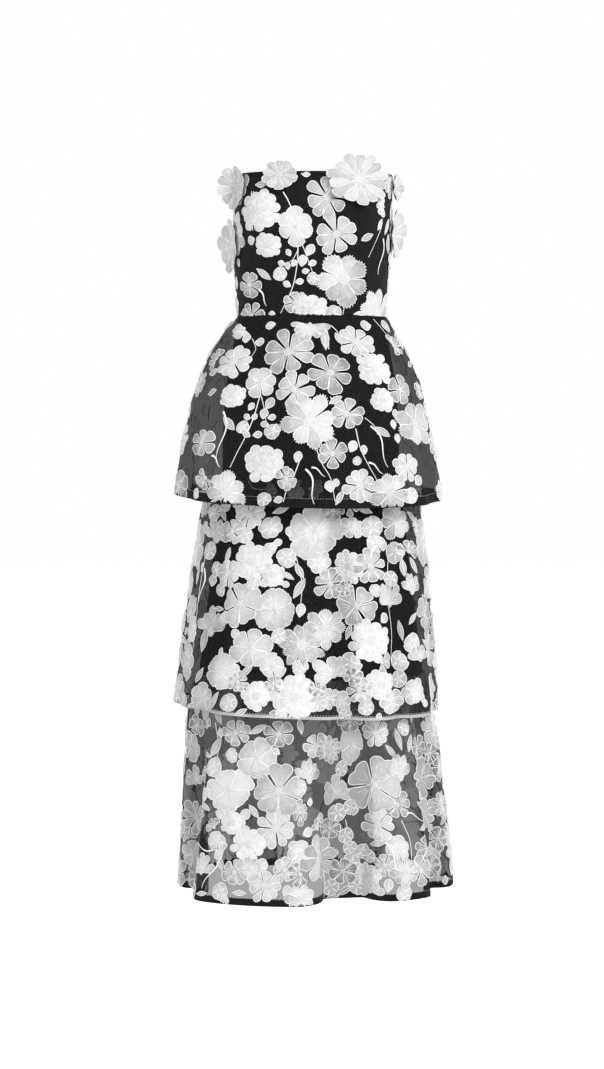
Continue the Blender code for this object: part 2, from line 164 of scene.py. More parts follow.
def ring_points(sections, angles, heights):
    """Points on a table's rings. Angles are in degrees, 0 at the front, 90 at the left side."""
    turn = np.radians(angles)
    left = smooth_column(sections, "left", heights)
    right = smooth_column(sections, "right", heights)
    front = smooth_column(sections, "front", heights)
    back = smooth_column(sections, "back", heights)
    side = np.where(np.sin(turn) > 0, left, right)
    depth = np.where(np.cos(turn) > 0, front, back)
    x = side * (np.sin(turn) + SQUARENESS * np.sin(3 * turn)) / (1 - SQUARENESS)
    y = -depth * (np.cos(turn) - SQUARENESS * np.cos(3 * turn)) / (1 - SQUARENESS)
    return np.stack([x, y, np.broadcast_to(heights, x.shape)], axis=-1)


def ring_directions(sections, angles, heights):
    """The level directions out of the ring and along it."""
    ahead = ring_points(sections, angles + NEAR_ANGLE, heights)
    behind = ring_points(sections, angles - NEAR_ANGLE, heights)
    along = ahead - behind
    along /= np.linalg.norm(along, axis=-1, keepdims=True)
    outward = np.stack([along[..., 1], -along[..., 0], np.zeros_like(along[..., 0])], axis=-1)
    return outward, along


# %% [markdown]
# ## The fitted bodice and slip
# Seams shape two soft cups into the bodice. The top edge is nearly level at the front and dips
# at the back, where the zip is.

# %% The fitted body
CUP_ANGLE = 36.0
CUP_HEIGHT = 0.165
CUP_SPREAD_ANGLE = 19.0
CUP_SPREAD_HEIGHT = 0.050
CUP_REACH = 0.009
TOP_EDGE_FRONT = 0.234
TOP_EDGE_SIDE = 0.236
TOP_EDGE_BACK = 0.212


def body_points(angles, heights):
    """Points of the fitted body's outer face."""
    angles, heights = np.broadcast_arrays(np.asarray(angles, float), np.asarray(heights, float))
    points = ring_points(BODY_SECTIONS, angles, heights)
    outward, _ = ring_directions(BODY_SECTIONS, angles, heights)
    round_angle = np.abs((angles + 180.0) % 360.0 - 180.0)
    across = np.exp(-((round_angle - CUP_ANGLE) / CUP_SPREAD_ANGLE) ** 2)
    reach = CUP_REACH * across * np.exp(-((heights - CUP_HEIGHT) / CUP_SPREAD_HEIGHT) ** 2)
    return points + outward * reach[..., None]


def top_edge(angles):
    """The height of the bodice's top edge."""
    facing = np.cos(np.radians(angles))
    end = np.where(facing > 0, TOP_EDGE_FRONT, TOP_EDGE_BACK)
    return TOP_EDGE_SIDE + (end - TOP_EDGE_SIDE) * facing ** 2


# %% [markdown]
# ## The hanging tiers
# A fold has a middle angle, half its width in degrees and its reach at the hem. The crests also roll
# sideways a little, because hanging cloth bulges above a narrow foot. Small gathers start at each
# tier's seam and fade out down the cloth, and a few long creases are listed one by one.

# %% Folds and creases
FOLD_EDGE = 3.0
FOLD_ROLL = 0.0045
TIER_RADIUS = 0.20
TIER_FOLDS = {
    "tier_1": (
        (-64, 8, -0.006), (-44, 9, 0.004), (-20, 9, -0.004), (6, 10, 0.004), (29, 8, -0.004),
        (49, 8, 0.004), (67, 7, -0.006), (112, 9, -0.008), (133, 9, 0.006), (155, 8, -0.008),
        (-157, 8, -0.007), (-135, 9, 0.006), (-113, 9, -0.008),
    ),
    "tier_2": (
        (-52, 8, -0.010), (-30, 11, 0.006), (13.5, 5, -0.014), (28, 7, 0.006), (41, 5, -0.008),
        (57, 8, 0.005), (74, 6, -0.007), (103, 8, 0.005), (121, 7, -0.011), (139, 8, 0.007),
        (158, 7, -0.011), (179, 9, 0.007), (-160, 7, -0.010), (-140, 9, 0.007),
        (-119, 7, -0.011), (-73, 6, -0.006),
    ),
    "tier_3": (
        (-25, 25, 0.034), (13, 12.5, -0.032), (39, 11, 0.018), (62, 10, -0.026),
        (-64, 11, -0.030), (113, 10, -0.022), (134, 10, 0.018), (157, 10, -0.024),
        (180, 11, 0.020), (-157, 10, -0.022), (-134, 10, 0.016), (-112, 9, -0.022),
    ),
}
# growth says how late the folds open. hem_tilt lowers the hem towards the wearer's left, and
# front_dip lowers its front. gathers counts those at the seam, and pucker is how deep they are.
TIER_SHAPE = {
    "tier_1": {"growth": 1.2, "hem_tilt": 0.022, "front_dip": 0.014,
               "gathers": 46, "pucker": 0.0008},
    "tier_2": {"growth": 0.8, "hem_tilt": 0.030, "front_dip": 0.002,
               "gathers": 62, "pucker": 0.0016},
    "tier_3": {"growth": 0.9, "hem_tilt": -0.006, "front_dip": 0.0,
               "gathers": 62, "pucker": 0.0016},
}
# the gathers start just under the seam and fade out, both as shares of the drop
GATHER_START = 0.02
GATHER_FADE = 0.16
# slow waves make the gathers uneven: size, waves round the body, and start
GATHER_SHIFTS = ((0.6, 3, 0.7), (0.5, 7, 1.9))
GATHER_SWAY = 2.2
GATHER_STRENGTH = (0.65, 0.35, 5, 0.4)
CREASE_FADE = 0.8
# angle, top and foot as shares of the drop, half width in degrees, depth, lean in degrees
TIER_CREASES = {
    "tier_1": (
        (-52, 0.05, 0.75, 3.0, 0.0022, -6), (-33, 0.10, 0.60, 2.6, -0.0016, 4),
        (-9, 0.02, 0.55, 3.2, 0.0015, -3), (17, 0.08, 0.80, 2.8, -0.0018, 5),
        (38, 0.04, 0.60, 2.4, 0.0016, 7), (58, 0.10, 0.90, 3.0, -0.0024, 4),
        (84, 0.05, 0.80, 3.0, 0.0020, -5), (125, 0.05, 0.70, 3.0, 0.0022, 5),
        (170, 0.10, 0.85, 2.8, -0.0018, -4), (-147, 0.04, 0.65, 3.2, 0.0020, 4),
        (-98, 0.08, 0.90, 2.8, -0.0022, -5),
    ),
    "tier_2": (
        (-60, 0.10, 0.95, 2.4, 0.0035, 3), (-41, 0.20, 1.00, 2.2, -0.0040, -3),
        (-18, 0.05, 0.70, 2.6, 0.0026, 4), (2, 0.25, 1.00, 2.2, -0.0026, 2),
        (21, 0.30, 0.90, 1.9, 0.0034, -2), (34, 0.10, 0.75, 2.0, -0.0036, 3),
        (48, 0.20, 1.00, 2.0, 0.0034, -2), (66, 0.05, 0.90, 2.4, -0.0030, 3),
        (112, 0.10, 0.90, 2.4, 0.0030, 3), (147, 0.15, 0.95, 2.4, -0.0032, -3),
        (-171, 0.05, 0.80, 2.4, 0.0030, 3), (-130, 0.20, 1.00, 2.4, -0.0032, -3),
        (-88, 0.10, 0.90, 2.4, 0.0030, 2),
    ),
    "tier_3": (
        (-43, 0.05, 0.80, 2.4, -0.0030, -3), (-31, 0.30, 1.00, 2.2, 0.0026, 3),
        (-12, 0.10, 0.85, 2.4, -0.0028, 2), (9, 0.05, 0.90, 2.0, 0.0032, 3),
        (17, 0.20, 1.00, 2.0, -0.0030, -2), (33, 0.10, 0.90, 2.0, 0.0034, 3),
        (45, 0.30, 1.00, 2.0, -0.0030, 2), (72, 0.10, 0.95, 2.2, 0.0032, -3),
        (-76, 0.10, 0.95, 2.2, 0.0030, 3), (99, 0.10, 0.90, 2.4, -0.0030, 3),
        (145, 0.20, 1.00, 2.4, 0.0030, -3), (-168, 0.10, 0.90, 2.4, -0.0030, 3),
        (-122, 0.20, 1.00, 2.4, 0.0030, -2),
    ),
}


def away_from(angles, middle):
    """Degrees from a middle angle, round the body the short way."""
    return (angles - middle + 180.0) % 360.0 - 180.0


def fold_reach(name, angles):
    """How far the hem stands out of its ring."""
    reach = np.zeros_like(angles)
    for middle, half_width, height in TIER_FOLDS[name]:
        away = away_from(angles, middle)
        rise = np.tanh((away + half_width) / FOLD_EDGE)
        fall = np.tanh((away - half_width) / FOLD_EDGE)
        reach += height * 0.5 * (rise - fall)
    return reach


def crease_depth(name, angles, drops):
    """Long creases and the gathers at the seam, as a distance along the cloth's normal."""
    depth = np.zeros_like(angles)
    for middle, start, foot, half_width, reach, lean in TIER_CREASES[name]:
        run = np.clip((drops - start) / (foot - start), 0.0, 1.0)
        away = away_from(angles, middle + lean * (run - 0.5))
        depth += reach * np.exp(-(away / half_width) ** 2) * np.sin(np.pi * run) ** CREASE_FADE
    shape = TIER_SHAPE[name]
    turn = np.radians(angles)
    wobble = sum(size * np.sin(count * turn + first) for size, count, first in GATHER_SHIFTS)
    gathers = np.cos(shape["gathers"] * turn + GATHER_SWAY * wobble)
    mean, swing, count, first = GATHER_STRENGTH
    strength = (mean + swing * np.sin(count * turn + first)) * np.exp(-drops / GATHER_FADE)
    return depth + shape["pucker"] * gathers * strength * np.clip(drops / GATHER_START, 0.0, 1.0)


def tier_points(name, angles, heights):
    """Points of a tier's outer face."""
    angles, heights = np.broadcast_arrays(np.asarray(angles, float), np.asarray(heights, float))
    sections = TIER_SECTIONS[name]
    shape = TIER_SHAPE[name]
    top = sections[0][0]
    hem = sections[-1][0]
    drops = np.clip((top - heights) / (top - hem), 0.0, 1.0)
    opening = drops ** shape["growth"]
    points = ring_points(sections, angles, heights)
    outward, along = ring_directions(sections, angles, heights)
    reach = fold_reach(name, angles) * opening + crease_depth(name, angles, drops)
    slope = fold_reach(name, angles + NEAR_ANGLE) - fold_reach(name, angles - NEAR_ANGLE)
    roll = slope / math.radians(2 * NEAR_ANGLE) * FOLD_ROLL / TIER_RADIUS * opening ** 2
    points = points + outward * reach[..., None] - along * roll[..., None]
    dip = shape["front_dip"] * np.maximum(np.cos(np.radians(angles)), 0.0)
    points[..., 2] -= (shape["hem_tilt"] * points[..., 0] + dip) * drops ** 2
    return points


# %% [markdown]
# ## A cloth that knows its own flat pattern
# Embroidery is worked on flat cloth, and then the cloth is hung. So each cloth keeps a fine grid
# of its points, and the distance along every row. A stitch that is so many millimetres across
# and up from a flower's middle is then found by walking that far on the cloth, folds and all.

# %% Cloth grid
ANGLE_STEP = 0.75
ANGLES = np.arange(-270.0, 270.0 + ANGLE_STEP / 2, ANGLE_STEP)
ROWS = 56
# a reading stays this far inside the count of rows or columns, so that it has a next node
INSIDE = 1.001
# the camera sees no further round the cloth than this, in degrees
SEEN_ANGLE = 92.0
SLIP_GAP = 0.0003


class Cloth:
    """A draped cloth: its points, normals, and distances along and down it."""

    def __init__(self, name, surface, row_heights):
        self.name = name
        heights = np.array([row_heights(ANGLES, share) for share in np.linspace(0, 1, ROWS)])
        self.points = surface(np.broadcast_to(ANGLES, heights.shape), heights)
        across = np.gradient(self.points, axis=1)
        down = np.gradient(self.points, axis=0)
        normals = np.cross(down, across)
        self.normals = normals / np.linalg.norm(normals, axis=-1, keepdims=True)
        steps = np.linalg.norm(np.diff(self.points, axis=1), axis=-1)
        self.along = np.concatenate([np.zeros((ROWS, 1)), np.cumsum(steps, axis=1)], axis=1)
        self.row_step = np.linalg.norm(down, axis=-1)

    def column(self, angles):
        """Grid columns, with fractions, of some angles."""
        return (angles - ANGLES[0]) / ANGLE_STEP

    def read(self, values, rows, columns):
        """Read a grid of values between its nodes."""
        rows = np.clip(rows, 0, ROWS - INSIDE)
        columns = np.clip(columns, 0, len(ANGLES) - INSIDE)
        row = rows.astype(int)
        column = columns.astype(int)
        down = rows - row
        across = columns - column
        if values.ndim == 3:
            down = down[:, None]
            across = across[:, None]
        upper = values[row, column] * (1 - across) + values[row, column + 1] * across
        lower = values[row + 1, column] * (1 - across) + values[row + 1, column + 1] * across
        return upper * (1 - down) + lower * down

    def lay(self, row, angle, across, up, lift):
        """Walk across and up from a start, and stand off the cloth by lift.
        Returns the points, whether each is still on the cloth, and their angles."""
        step = self.read(self.row_step, row, self.column(angle))
        rows = row - up / step
        inside = (rows >= 0.0) & (rows <= ROWS - 1)
        rows = np.clip(rows, 0, ROWS - INSIDE)
        lower = rows.astype(int)
        angles = np.zeros_like(rows)
        for offset in (0, 1):
            share = (rows - lower) if offset else 1 - (rows - lower)
            for index in np.unique(lower):
                here = lower == index
                line = self.along[index + offset]
                target = np.interp(angle[here], ANGLES, line) + across[here]
                angles[here] += share[here] * np.interp(target, line, ANGLES)
        columns = self.column(angles)
        points = self.read(self.points, rows, columns)
        normals = self.read(self.normals, rows, columns)
        return points + normals * lift[:, None], inside, angles

    def find_pixel(self, column, row):
        """The start on the front of the cloth that the photograph shows at a pixel."""
        front = np.abs(ANGLES) <= SEEN_ANGLE
        pixels = photo_pixels(self.points[:, front])
        miss = np.linalg.norm(pixels - np.array([column, row]), axis=-1)
        best = np.unravel_index(np.argmin(miss), miss.shape)
        return float(best[0]), float(ANGLES[front][best[1]])


def tier_rows(name):
    """Heights of a tier's rows, from its seam to its hem."""
    top = TIER_SECTIONS[name][0][0]
    hem = TIER_SECTIONS[name][-1][0]
    return lambda angles, share: np.full_like(angles, top + (hem - top) * share)


def bodice_rows(angles, share):
    """Heights of the bodice's rows, from its top edge to the waist."""
    return top_edge(angles) * (1 - share)


def slip_rows(angles, share):
    """Heights of the slip's rows, from the waist to its lower edge."""
    return np.full_like(angles, BODY_SECTIONS[-1][0] * share - SLIP_GAP)


cloths = {"bodice": Cloth("bodice", body_points, bodice_rows),
          "slip": Cloth("slip", body_points, slip_rows)}
for tier in TIER_SECTIONS:
    cloths[tier] = Cloth(tier, lambda a, h, tier=tier: tier_points(tier, a, h), tier_rows(tier))
for cloth in cloths.values():
    turn = np.searchsorted(ANGLES, (-180.0, 180.0))
    hem = cloth.along[-1, turn[1]] - cloth.along[-1, turn[0]]
    print(cloth.name, "measures", round(float(hem), 3), "m round its lower edge")

# %% [markdown]
# ## Making a piece from arrays
# A cloth has thousands of points, so each piece is written to Blender in a few bulk calls. Every
# piece then rides on its body, and holds the materials that its finishes come from.

# %% Piece helper
def make_piece(name, points, faces, materials, face_materials=None, uvs=None, tones=None):
    """Make one piece from its points and faces. uvs and tones hold a value for each point."""
    points = np.ascontiguousarray(points, dtype=np.float32)
    faces = np.ascontiguousarray(faces, dtype=np.int32)
    mesh = bpy.data.meshes.new(name)
    mesh.vertices.add(len(points))
    mesh.vertices.foreach_set("co", points.ravel())
    mesh.loops.add(faces.size)
    mesh.loops.foreach_set("vertex_index", faces.ravel())
    mesh.polygons.add(len(faces))
    mesh.polygons.foreach_set("loop_start", np.arange(len(faces), dtype=np.int32) * faces.shape[1])
    for material in materials:
        mesh.materials.append(material)
    if face_materials is not None:
        mesh.polygons.foreach_set("material_index", np.asarray(face_materials, dtype=np.int32))
    mesh.update(calc_edges=True)
    mesh.polygons.foreach_set("use_smooth", np.ones(len(faces), dtype=bool))
    if uvs is not None:
        layer = mesh.uv_layers.new(name="UVMap")
        layer.data.foreach_set("uv", np.asarray(uvs, dtype=np.float32)[faces.ravel()].ravel())
    if tones is not None:
        attribute = mesh.attributes.new("tone", "FLOAT", "POINT")
        attribute.data.foreach_set("value", np.asarray(tones, dtype=np.float32))
    piece = bpy.data.objects.new(name, mesh)
    bpy.context.scene.collection.objects.link(piece)
    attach(piece, "dress")
    return piece


def grid_faces(rows, columns):
    """Quads of a grid that is stored row by row."""
    corner = (np.arange(rows - 1)[:, None] * columns + np.arange(columns - 1)[None, :]).ravel()
    return np.stack([corner, corner + columns, corner + columns + 1, corner + 1], axis=1)


# %% [markdown]
# ## Materials
# The net is a plain black mesh that lets about a quarter of the light through. Its holes are
# smaller than a pixel, so they are an alpha value, and the mesh itself is bump and colour. The
# lining and the slip are matt black cloth with a fine weave. The embroidery has four fills, from
# gauze to packed satin stitches, a white cord round each petal, and a reverse side. Its threads
# run from the middle of a flower to its rim, along the petal's own map.

# %% Material helpers
def new_material(name, colour, roughness, specular):
    """A material with its plain shader values set on the shader's own sockets."""
    material = bpy.data.materials.new(name)
    material.use_nodes = True
    shader = material.node_tree.nodes["Principled BSDF"]
    shader.inputs["Base Color"].default_value = (*colour, 1.0)
    shader.inputs["Roughness"].default_value = roughness
    shader.inputs["Specular IOR Level"].default_value = specular
    return material, material.node_tree, shader


def colour_ramp(tree, value, stops):
    """Turn a value into a colour by a few stops."""
    ramp = tree.nodes.new("ShaderNodeValToRGB")
    elements = ramp.color_ramp.elements
    while len(elements) < len(stops):
        elements.new(0.5)
    for element, (position, shade) in zip(elements, stops):
        element.position = position
        element.color = (*shade, 1.0)
    tree.links.new(value, ramp.inputs["Fac"])
    return ramp.outputs["Color"]


def mapped(tree, output, scale=(1.0, 1.0, 1.0)):
    """Texture coordinates, stretched by a scale where one is given."""
    coordinates = tree.nodes.new("ShaderNodeTexCoord")
    mapping = tree.nodes.new("ShaderNodeMapping")
    mapping.inputs["Scale"].default_value = scale
    tree.links.new(coordinates.outputs[output], mapping.inputs["Vector"])
    return mapping.outputs["Vector"]


def add_bump(tree, shader, height, distance, strength=1.0):
    """Raise the surface a little by a texture."""
    bump = tree.nodes.new("ShaderNodeBump")
    bump.inputs["Distance"].default_value = distance
    bump.inputs["Strength"].default_value = strength
    tree.links.new(height, bump.inputs["Height"])
    tree.links.new(bump.outputs["Normal"], shader.inputs["Normal"])


def wave(tree, vector, scale, distortion, direction="X"):
    """Bands of threads."""
    bands = tree.nodes.new("ShaderNodeTexWave")
    bands.bands_direction = direction
    bands.inputs["Scale"].default_value = scale
    bands.inputs["Distortion"].default_value = distortion
    bands.inputs["Detail"].default_value = 1.5
    tree.links.new(vector, bands.inputs["Vector"])
    return bands.outputs["Fac"]


def noise(tree, vector, scale, detail=3.0):
    """Soft uneven noise."""
    texture = tree.nodes.new("ShaderNodeTexNoise")
    texture.inputs["Scale"].default_value = scale
    texture.inputs["Detail"].default_value = detail
    tree.links.new(vector, texture.inputs["Vector"])
    return texture.outputs["Fac"]


# %% Black net
NET_ALPHA = 0.74
NET_CELL = 0.0016
NET_BUMP = 0.0002
WEAVE_BUMP = 0.0002


def make_net():
    """Fine black net: six-sided cells in bump and colour, and one alpha for its holes."""
    material, tree, shader = new_material("black_net", (0.010, 0.010, 0.011), 0.80, 0.05)
    shader.inputs["Alpha"].default_value = NET_ALPHA
    cells = tree.nodes.new("ShaderNodeTexVoronoi")
    cells.feature = "DISTANCE_TO_EDGE"
    cells.inputs["Scale"].default_value = 1.0 / NET_CELL
    tree.links.new(mapped(tree, "UV"), cells.inputs["Vector"])
    shade = colour_ramp(tree, cells.outputs["Distance"],
                        ((0.0, (0.014, 0.014, 0.015)), (0.25, (0.005, 0.005, 0.006))))
    tree.links.new(shade, shader.inputs["Base Color"])
    add_bump(tree, shader, cells.outputs["Distance"], NET_BUMP, 0.4)
    return material


def make_black_cloth(name, thread, shine):
    """Matt black woven cloth with crossing threads and a little unevenness."""
    material, tree, shader = new_material(name, (0.007, 0.007, 0.008), 0.72, shine)
    place = mapped(tree, "UV")
    warp = wave(tree, place, 1.0 / thread, 0.2, "X")
    weft = wave(tree, place, 1.0 / thread, 0.2, "Y")
    crossing = tree.nodes.new("ShaderNodeMath")
    crossing.operation = "MULTIPLY"
    tree.links.new(warp, crossing.inputs[0])
    tree.links.new(weft, crossing.inputs[1])
    wear = noise(tree, place, 60.0)
    shade = colour_ramp(tree, wear, ((0.3, (0.0035, 0.0035, 0.004)), (0.7, (0.007, 0.007, 0.0075))))
    tree.links.new(shade, shader.inputs["Base Color"])
    add_bump(tree, shader, crossing.outputs["Value"], WEAVE_BUMP, 0.5)
    shader.inputs["Sheen Weight"].default_value = 0.02
    return material


# %% White threads
def add_up(tree, parts, start):
    """Add several values, each times its own weight."""
    total = None
    for value, weight in parts:
        step = tree.nodes.new("ShaderNodeMath")
        step.operation = "MULTIPLY_ADD"
        step.inputs[1].default_value = weight
        tree.links.new(value, step.inputs[0])
        if total is None:
            step.inputs[2].default_value = start
        else:
            tree.links.new(total, step.inputs[2])
        total = step.outputs["Value"]
    return total


# how much each thing adds to the whiteness of a thread, and the value that they add to
BAND_SHARE, PATCH_SHARE, RIM_SHARE, TONE_SHARE = 0.14, 0.52, -0.34, 0.42
FIRST_WHITENESS = 0.12
THREAD_DEPTH = 0.0002


def make_thread(name, dark, light, threads, glow=0.0):
    """Embroidery thread. The bands run from a petal's foot to its rim, and it is whiter at the foot,
    where the stitches crowd. Each flower has its own tone, and the tone also holds the petals'
    painted sheen and the folds' painted shade."""
    material, tree, shader = new_material(name, light, 0.60, 0.25)
    bands = wave(tree, mapped(tree, "UV", (1.0, 0.10, 1.0)), threads, 1.2, "X")
    patches = noise(tree, mapped(tree, "Object"), 110.0)
    coordinates = tree.nodes.new("ShaderNodeTexCoord")
    parts = tree.nodes.new("ShaderNodeSeparateXYZ")
    tree.links.new(coordinates.outputs["UV"], parts.inputs["Vector"])
    tone = tree.nodes.new("ShaderNodeAttribute")
    tone.attribute_name = "tone"
    value = add_up(tree, ((bands, BAND_SHARE), (patches, PATCH_SHARE),
                          (parts.outputs["Y"], RIM_SHARE), (tone.outputs["Fac"], TONE_SHARE)),
                   FIRST_WHITENESS)
    shade = colour_ramp(tree, value, ((0.10, dark), (0.60, light)))
    tree.links.new(shade, shader.inputs["Base Color"])
    add_bump(tree, shader, bands, THREAD_DEPTH, 0.7)
    shader.inputs["Sheen Weight"].default_value = 0.1
    # painted light: the thread glows a little, though it is no lamp
    if glow:
        shader.inputs["Emission Color"].default_value = (*light, 1.0)
        shader.inputs["Emission Strength"].default_value = glow
    return material


net = make_net()
lining = make_black_cloth("black_lining", 0.0006, 0.10)
slip_cloth = make_black_cloth("black_slip_satin", 0.0005, 0.14)
band_cloth = make_black_cloth("black_band", 0.0012, 0.08)
sheer_fill = make_thread("sheer_stitches", (0.24, 0.24, 0.245), (0.43, 0.43, 0.43), 4.5)
gauze_fill = make_thread("gauze_stitches", (0.16, 0.16, 0.165), (0.34, 0.34, 0.34), 4.5)
dense_fill = make_thread("dense_stitches", (0.32, 0.32, 0.325), (0.53, 0.53, 0.528), 4.5)
packed_fill = make_thread("packed_stitches", (0.42, 0.42, 0.425), (0.63, 0.63, 0.628), 4.5)
cord_thread = make_thread("white_cord", (0.58, 0.58, 0.58), (0.68, 0.68, 0.678), 2.4)
# the reverse side glows a little: painted light that stands for light coming through the stitches
reverse_fill = make_thread("reverse_stitches", (0.20, 0.20, 0.205), (0.80, 0.80, 0.80), 1.6,
                           glow=0.20)
print("materials", len(bpy.data.materials))

# %% [markdown]
# ## The panels
# A shell follows each panel of the imported model and takes its place. The tiers are rectangles of
# net gathered into a seam, and the size that each panel was cut to is printed.

# %% Panels
# where the seams run, in degrees from the middle of the front
PRINCESS_SEAM = 57.0
SIDE_SEAM = 90.0
BACK_SEAM = 123.0
ZIP_SEAM = 180.0
FAR_SIDE_SEAM = 270.0
PANELS = (
    ("bodice_front", "bodice", -PRINCESS_SEAM, PRINCESS_SEAM, "lined_black_cloth"),
    ("bodice_side_left", "bodice", PRINCESS_SEAM, BACK_SEAM, "lined_black_cloth"),
    ("bodice_side_right", "bodice", -BACK_SEAM, -PRINCESS_SEAM, "lined_black_cloth"),
    ("bodice_back_left", "bodice", BACK_SEAM, ZIP_SEAM, "lined_black_cloth"),
    ("bodice_back_right", "bodice", -ZIP_SEAM, -BACK_SEAM, "lined_black_cloth"),
    ("slip_front", "slip", -SIDE_SEAM, SIDE_SEAM, "slip_cloth"),
    ("slip_back_left", "slip", SIDE_SEAM, ZIP_SEAM, "slip_cloth"),
    ("slip_back_right", "slip", -ZIP_SEAM, -SIDE_SEAM, "slip_cloth"),
    ("tier_1_front", "tier_1", -SIDE_SEAM, SIDE_SEAM, "embroidered_net"),
    ("tier_1_back_left", "tier_1", SIDE_SEAM, ZIP_SEAM, "embroidered_net"),
    ("tier_1_back_right", "tier_1", -ZIP_SEAM, -SIDE_SEAM, "embroidered_net"),
    ("tier_2_front", "tier_2", -SIDE_SEAM, SIDE_SEAM, "embroidered_net"),
    ("tier_2_back", "tier_2", SIDE_SEAM, FAR_SIDE_SEAM, "embroidered_net"),
    ("tier_3_front", "tier_3", -SIDE_SEAM, SIDE_SEAM, "embroidered_net"),
    ("tier_3_back", "tier_3", SIDE_SEAM, FAR_SIDE_SEAM, "embroidered_net"),
)
SHELL_INSET = 0.0006
# the bodice and the slip have no creases, so every second column is enough for them
COLUMN_STRIDE = {"bodice": 2, "slip": 2}
PANEL_FINISH = {"bodice": lining, "slip": slip_cloth}


def make_panel(panel, cloth, start, end):
    first, last = (int(round(cloth.column(angle))) for angle in (start, end))
    chosen = np.arange(first, last + 1, COLUMN_STRIDE.get(cloth.name, 1))
    points = cloth.points[:, chosen] - cloth.normals[:, chosen] * SHELL_INSET
    columns = len(chosen)
    across = cloth.along[:, chosen] - cloth.along[:, [first]]
    down = np.concatenate([np.zeros((1, columns)), np.cumsum(cloth.row_step[1:, chosen], axis=0)])
    uvs = np.stack([across, -down], axis=-1).reshape(-1, 2)
    finish = PANEL_FINISH.get(cloth.name, net)
    piece = make_piece(panel + "_cloth", points.reshape(-1, 3), grid_faces(ROWS, columns),
                       [finish], uvs=uvs)
    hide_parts(panel)
    width = float(across[:, -1].max())
    length = float(down[-1].max())
    print(f"{panel}: cut {width:.3f} by {length:.3f} m")
    return piece, width, length


for panel, cloth_name, start, end, slot in PANELS:
    piece, width, length = make_panel(panel, cloths[cloth_name], start, end)

# %% [markdown]
# ## Embroidered petals
# One petal is an outline from its foot to its tip. The rim is a raised white cord, and the fill
# lies a little lower inside it, so rings of points follow the outline inwards: the cloth, the
# crest of the cord, the edge of the fill, and the shoulder of its soft dome. Wide petals have
# veins, which are fine cords on top of the fill. A plain copy underneath is the reverse side of
# the stitches, which shows from inside the net.

# %% Petal shapes: how far along, and how wide there
PETAL_SHAPES = {
    "round": ((0.0, 0.20), (0.26, 0.44), (0.48, 0.72), (0.63, 0.94), (0.74, 1.0), (0.83, 0.92),
              (0.91, 0.70), (0.97, 0.38), (1.0, 0.0)),
    "notched": ((0.0, 0.18), (0.24, 0.42), (0.46, 0.70), (0.62, 0.93), (0.74, 1.0),
                (0.84, 0.93), (0.925, 0.70), (0.975, 0.42), (0.955, 0.22), (0.99, 0.0)),
    "toothed": ((0.0, 0.20), (0.24, 0.50), (0.46, 0.80), (0.62, 0.96), (0.75, 1.0),
                (0.78, 0.82), (0.88, 0.78), (0.85, 0.58), (0.97, 0.50), (0.90, 0.30),
                (1.02, 0.18), (0.95, 0.0)),
    "broad": ((0.0, 0.12), (0.20, 0.40), (0.40, 0.70), (0.58, 0.93), (0.72, 1.0), (0.84, 0.94),
              (0.90, 0.80), (0.955, 0.70), (0.95, 0.48), (1.0, 0.32), (0.975, 0.12), (0.985, 0.0)),
    "heart": ((0.0, 0.14), (0.22, 0.36), (0.44, 0.66), (0.62, 0.90), (0.76, 1.0), (0.88, 0.93),
              (0.96, 0.74), (1.0, 0.48), (0.98, 0.24), (0.92, 0.0)),
    "scalloped": ((0.0, 0.14), (0.22, 0.38), (0.44, 0.68), (0.60, 0.90), (0.72, 1.0),
                  (0.80, 0.92), (0.84, 0.78), (0.91, 0.70), (0.92, 0.52), (0.98, 0.40),
                  (0.965, 0.20), (1.0, 0.08), (0.985, 0.0)),
    "leaf": ((0.0, 0.03), (0.12, 0.36), (0.30, 0.80), (0.50, 1.0), (0.70, 0.84), (0.88, 0.42),
             (1.0, 0.0)),
    "drop": ((0.0, 0.12), (0.18, 0.56), (0.42, 0.96), (0.62, 1.0), (0.82, 0.76), (0.95, 0.38),
             (1.0, 0.0)),
}
CORD_WIDTH = 0.0014
CORD_RISE = 0.0008
FILL_RISE = 0.0003
# the rings of a rim: how many cord widths in, and how high
RIM_RINGS = ((0.0, 0.0), (0.45, CORD_RISE), (1.05, FILL_RISE))
# a cord takes no more than this share of a petal's half width
CORD_MOST = 0.30
RING_LEAST = 0.12
PETAL_MIDDLE = 0.60
PETAL_CUP = 0.0006
DOME_SHARE = 0.5
DOME_TOP = 1.1
SHEER, DENSE, CORD, REVERSE, GAUZE, PACKED = range(6)
# a flower of mixed petals has sheer ones where their tone is low, and dense ones elsewhere
MIXED = -1
MIXED_TONE = 0.42
THREAD_MATERIALS = [sheer_fill, dense_fill, cord_thread, reverse_fill, gauze_fill, packed_fill]
REVERSE_LIFT = -0.0009


# %% Gathered stitches
class Stitches:
    """Points, faces and finishes that are gathered for one embroidered piece."""

    def __init__(self):
        self.points = []
        self.uvs = []
        self.faces = []
        self.finishes = []
        self.tones = []
        self.count = 0

    def add(self, points, uvs, faces, finishes, tone=0.5):
        """Add points as across, up and lift, with their faces. A high tone is whiter."""
        self.points.append(points)
        self.tones.append(np.full(len(points), tone))
        self.uvs.append(uvs)
        self.faces.append(faces + self.count)
        self.finishes.append(finishes)
        self.count += len(points)

    def joined(self):
        """All that was gathered, as five arrays."""
        return tuple(np.concatenate(part) for part in
                     (self.points, self.uvs, self.faces, self.finishes, self.tones))


# %% Rings and petals
def ring_band(start, count):
    """Triangles between two closed rings that follow each other."""
    here = np.arange(count)
    after = (here + 1) % count
    outer, next_outer = start + here, start + after
    inner, next_inner = outer + count, next_outer + count
    return np.concatenate([np.stack([outer, next_outer, next_inner], 1),
                           np.stack([outer, next_inner, inner], 1)])


def ring_cap(start, count, middle):
    """Triangles from a closed ring to a middle point."""
    here = np.arange(count)
    return np.stack([start + here, start + (here + 1) % count, np.full(count, middle)], 1)


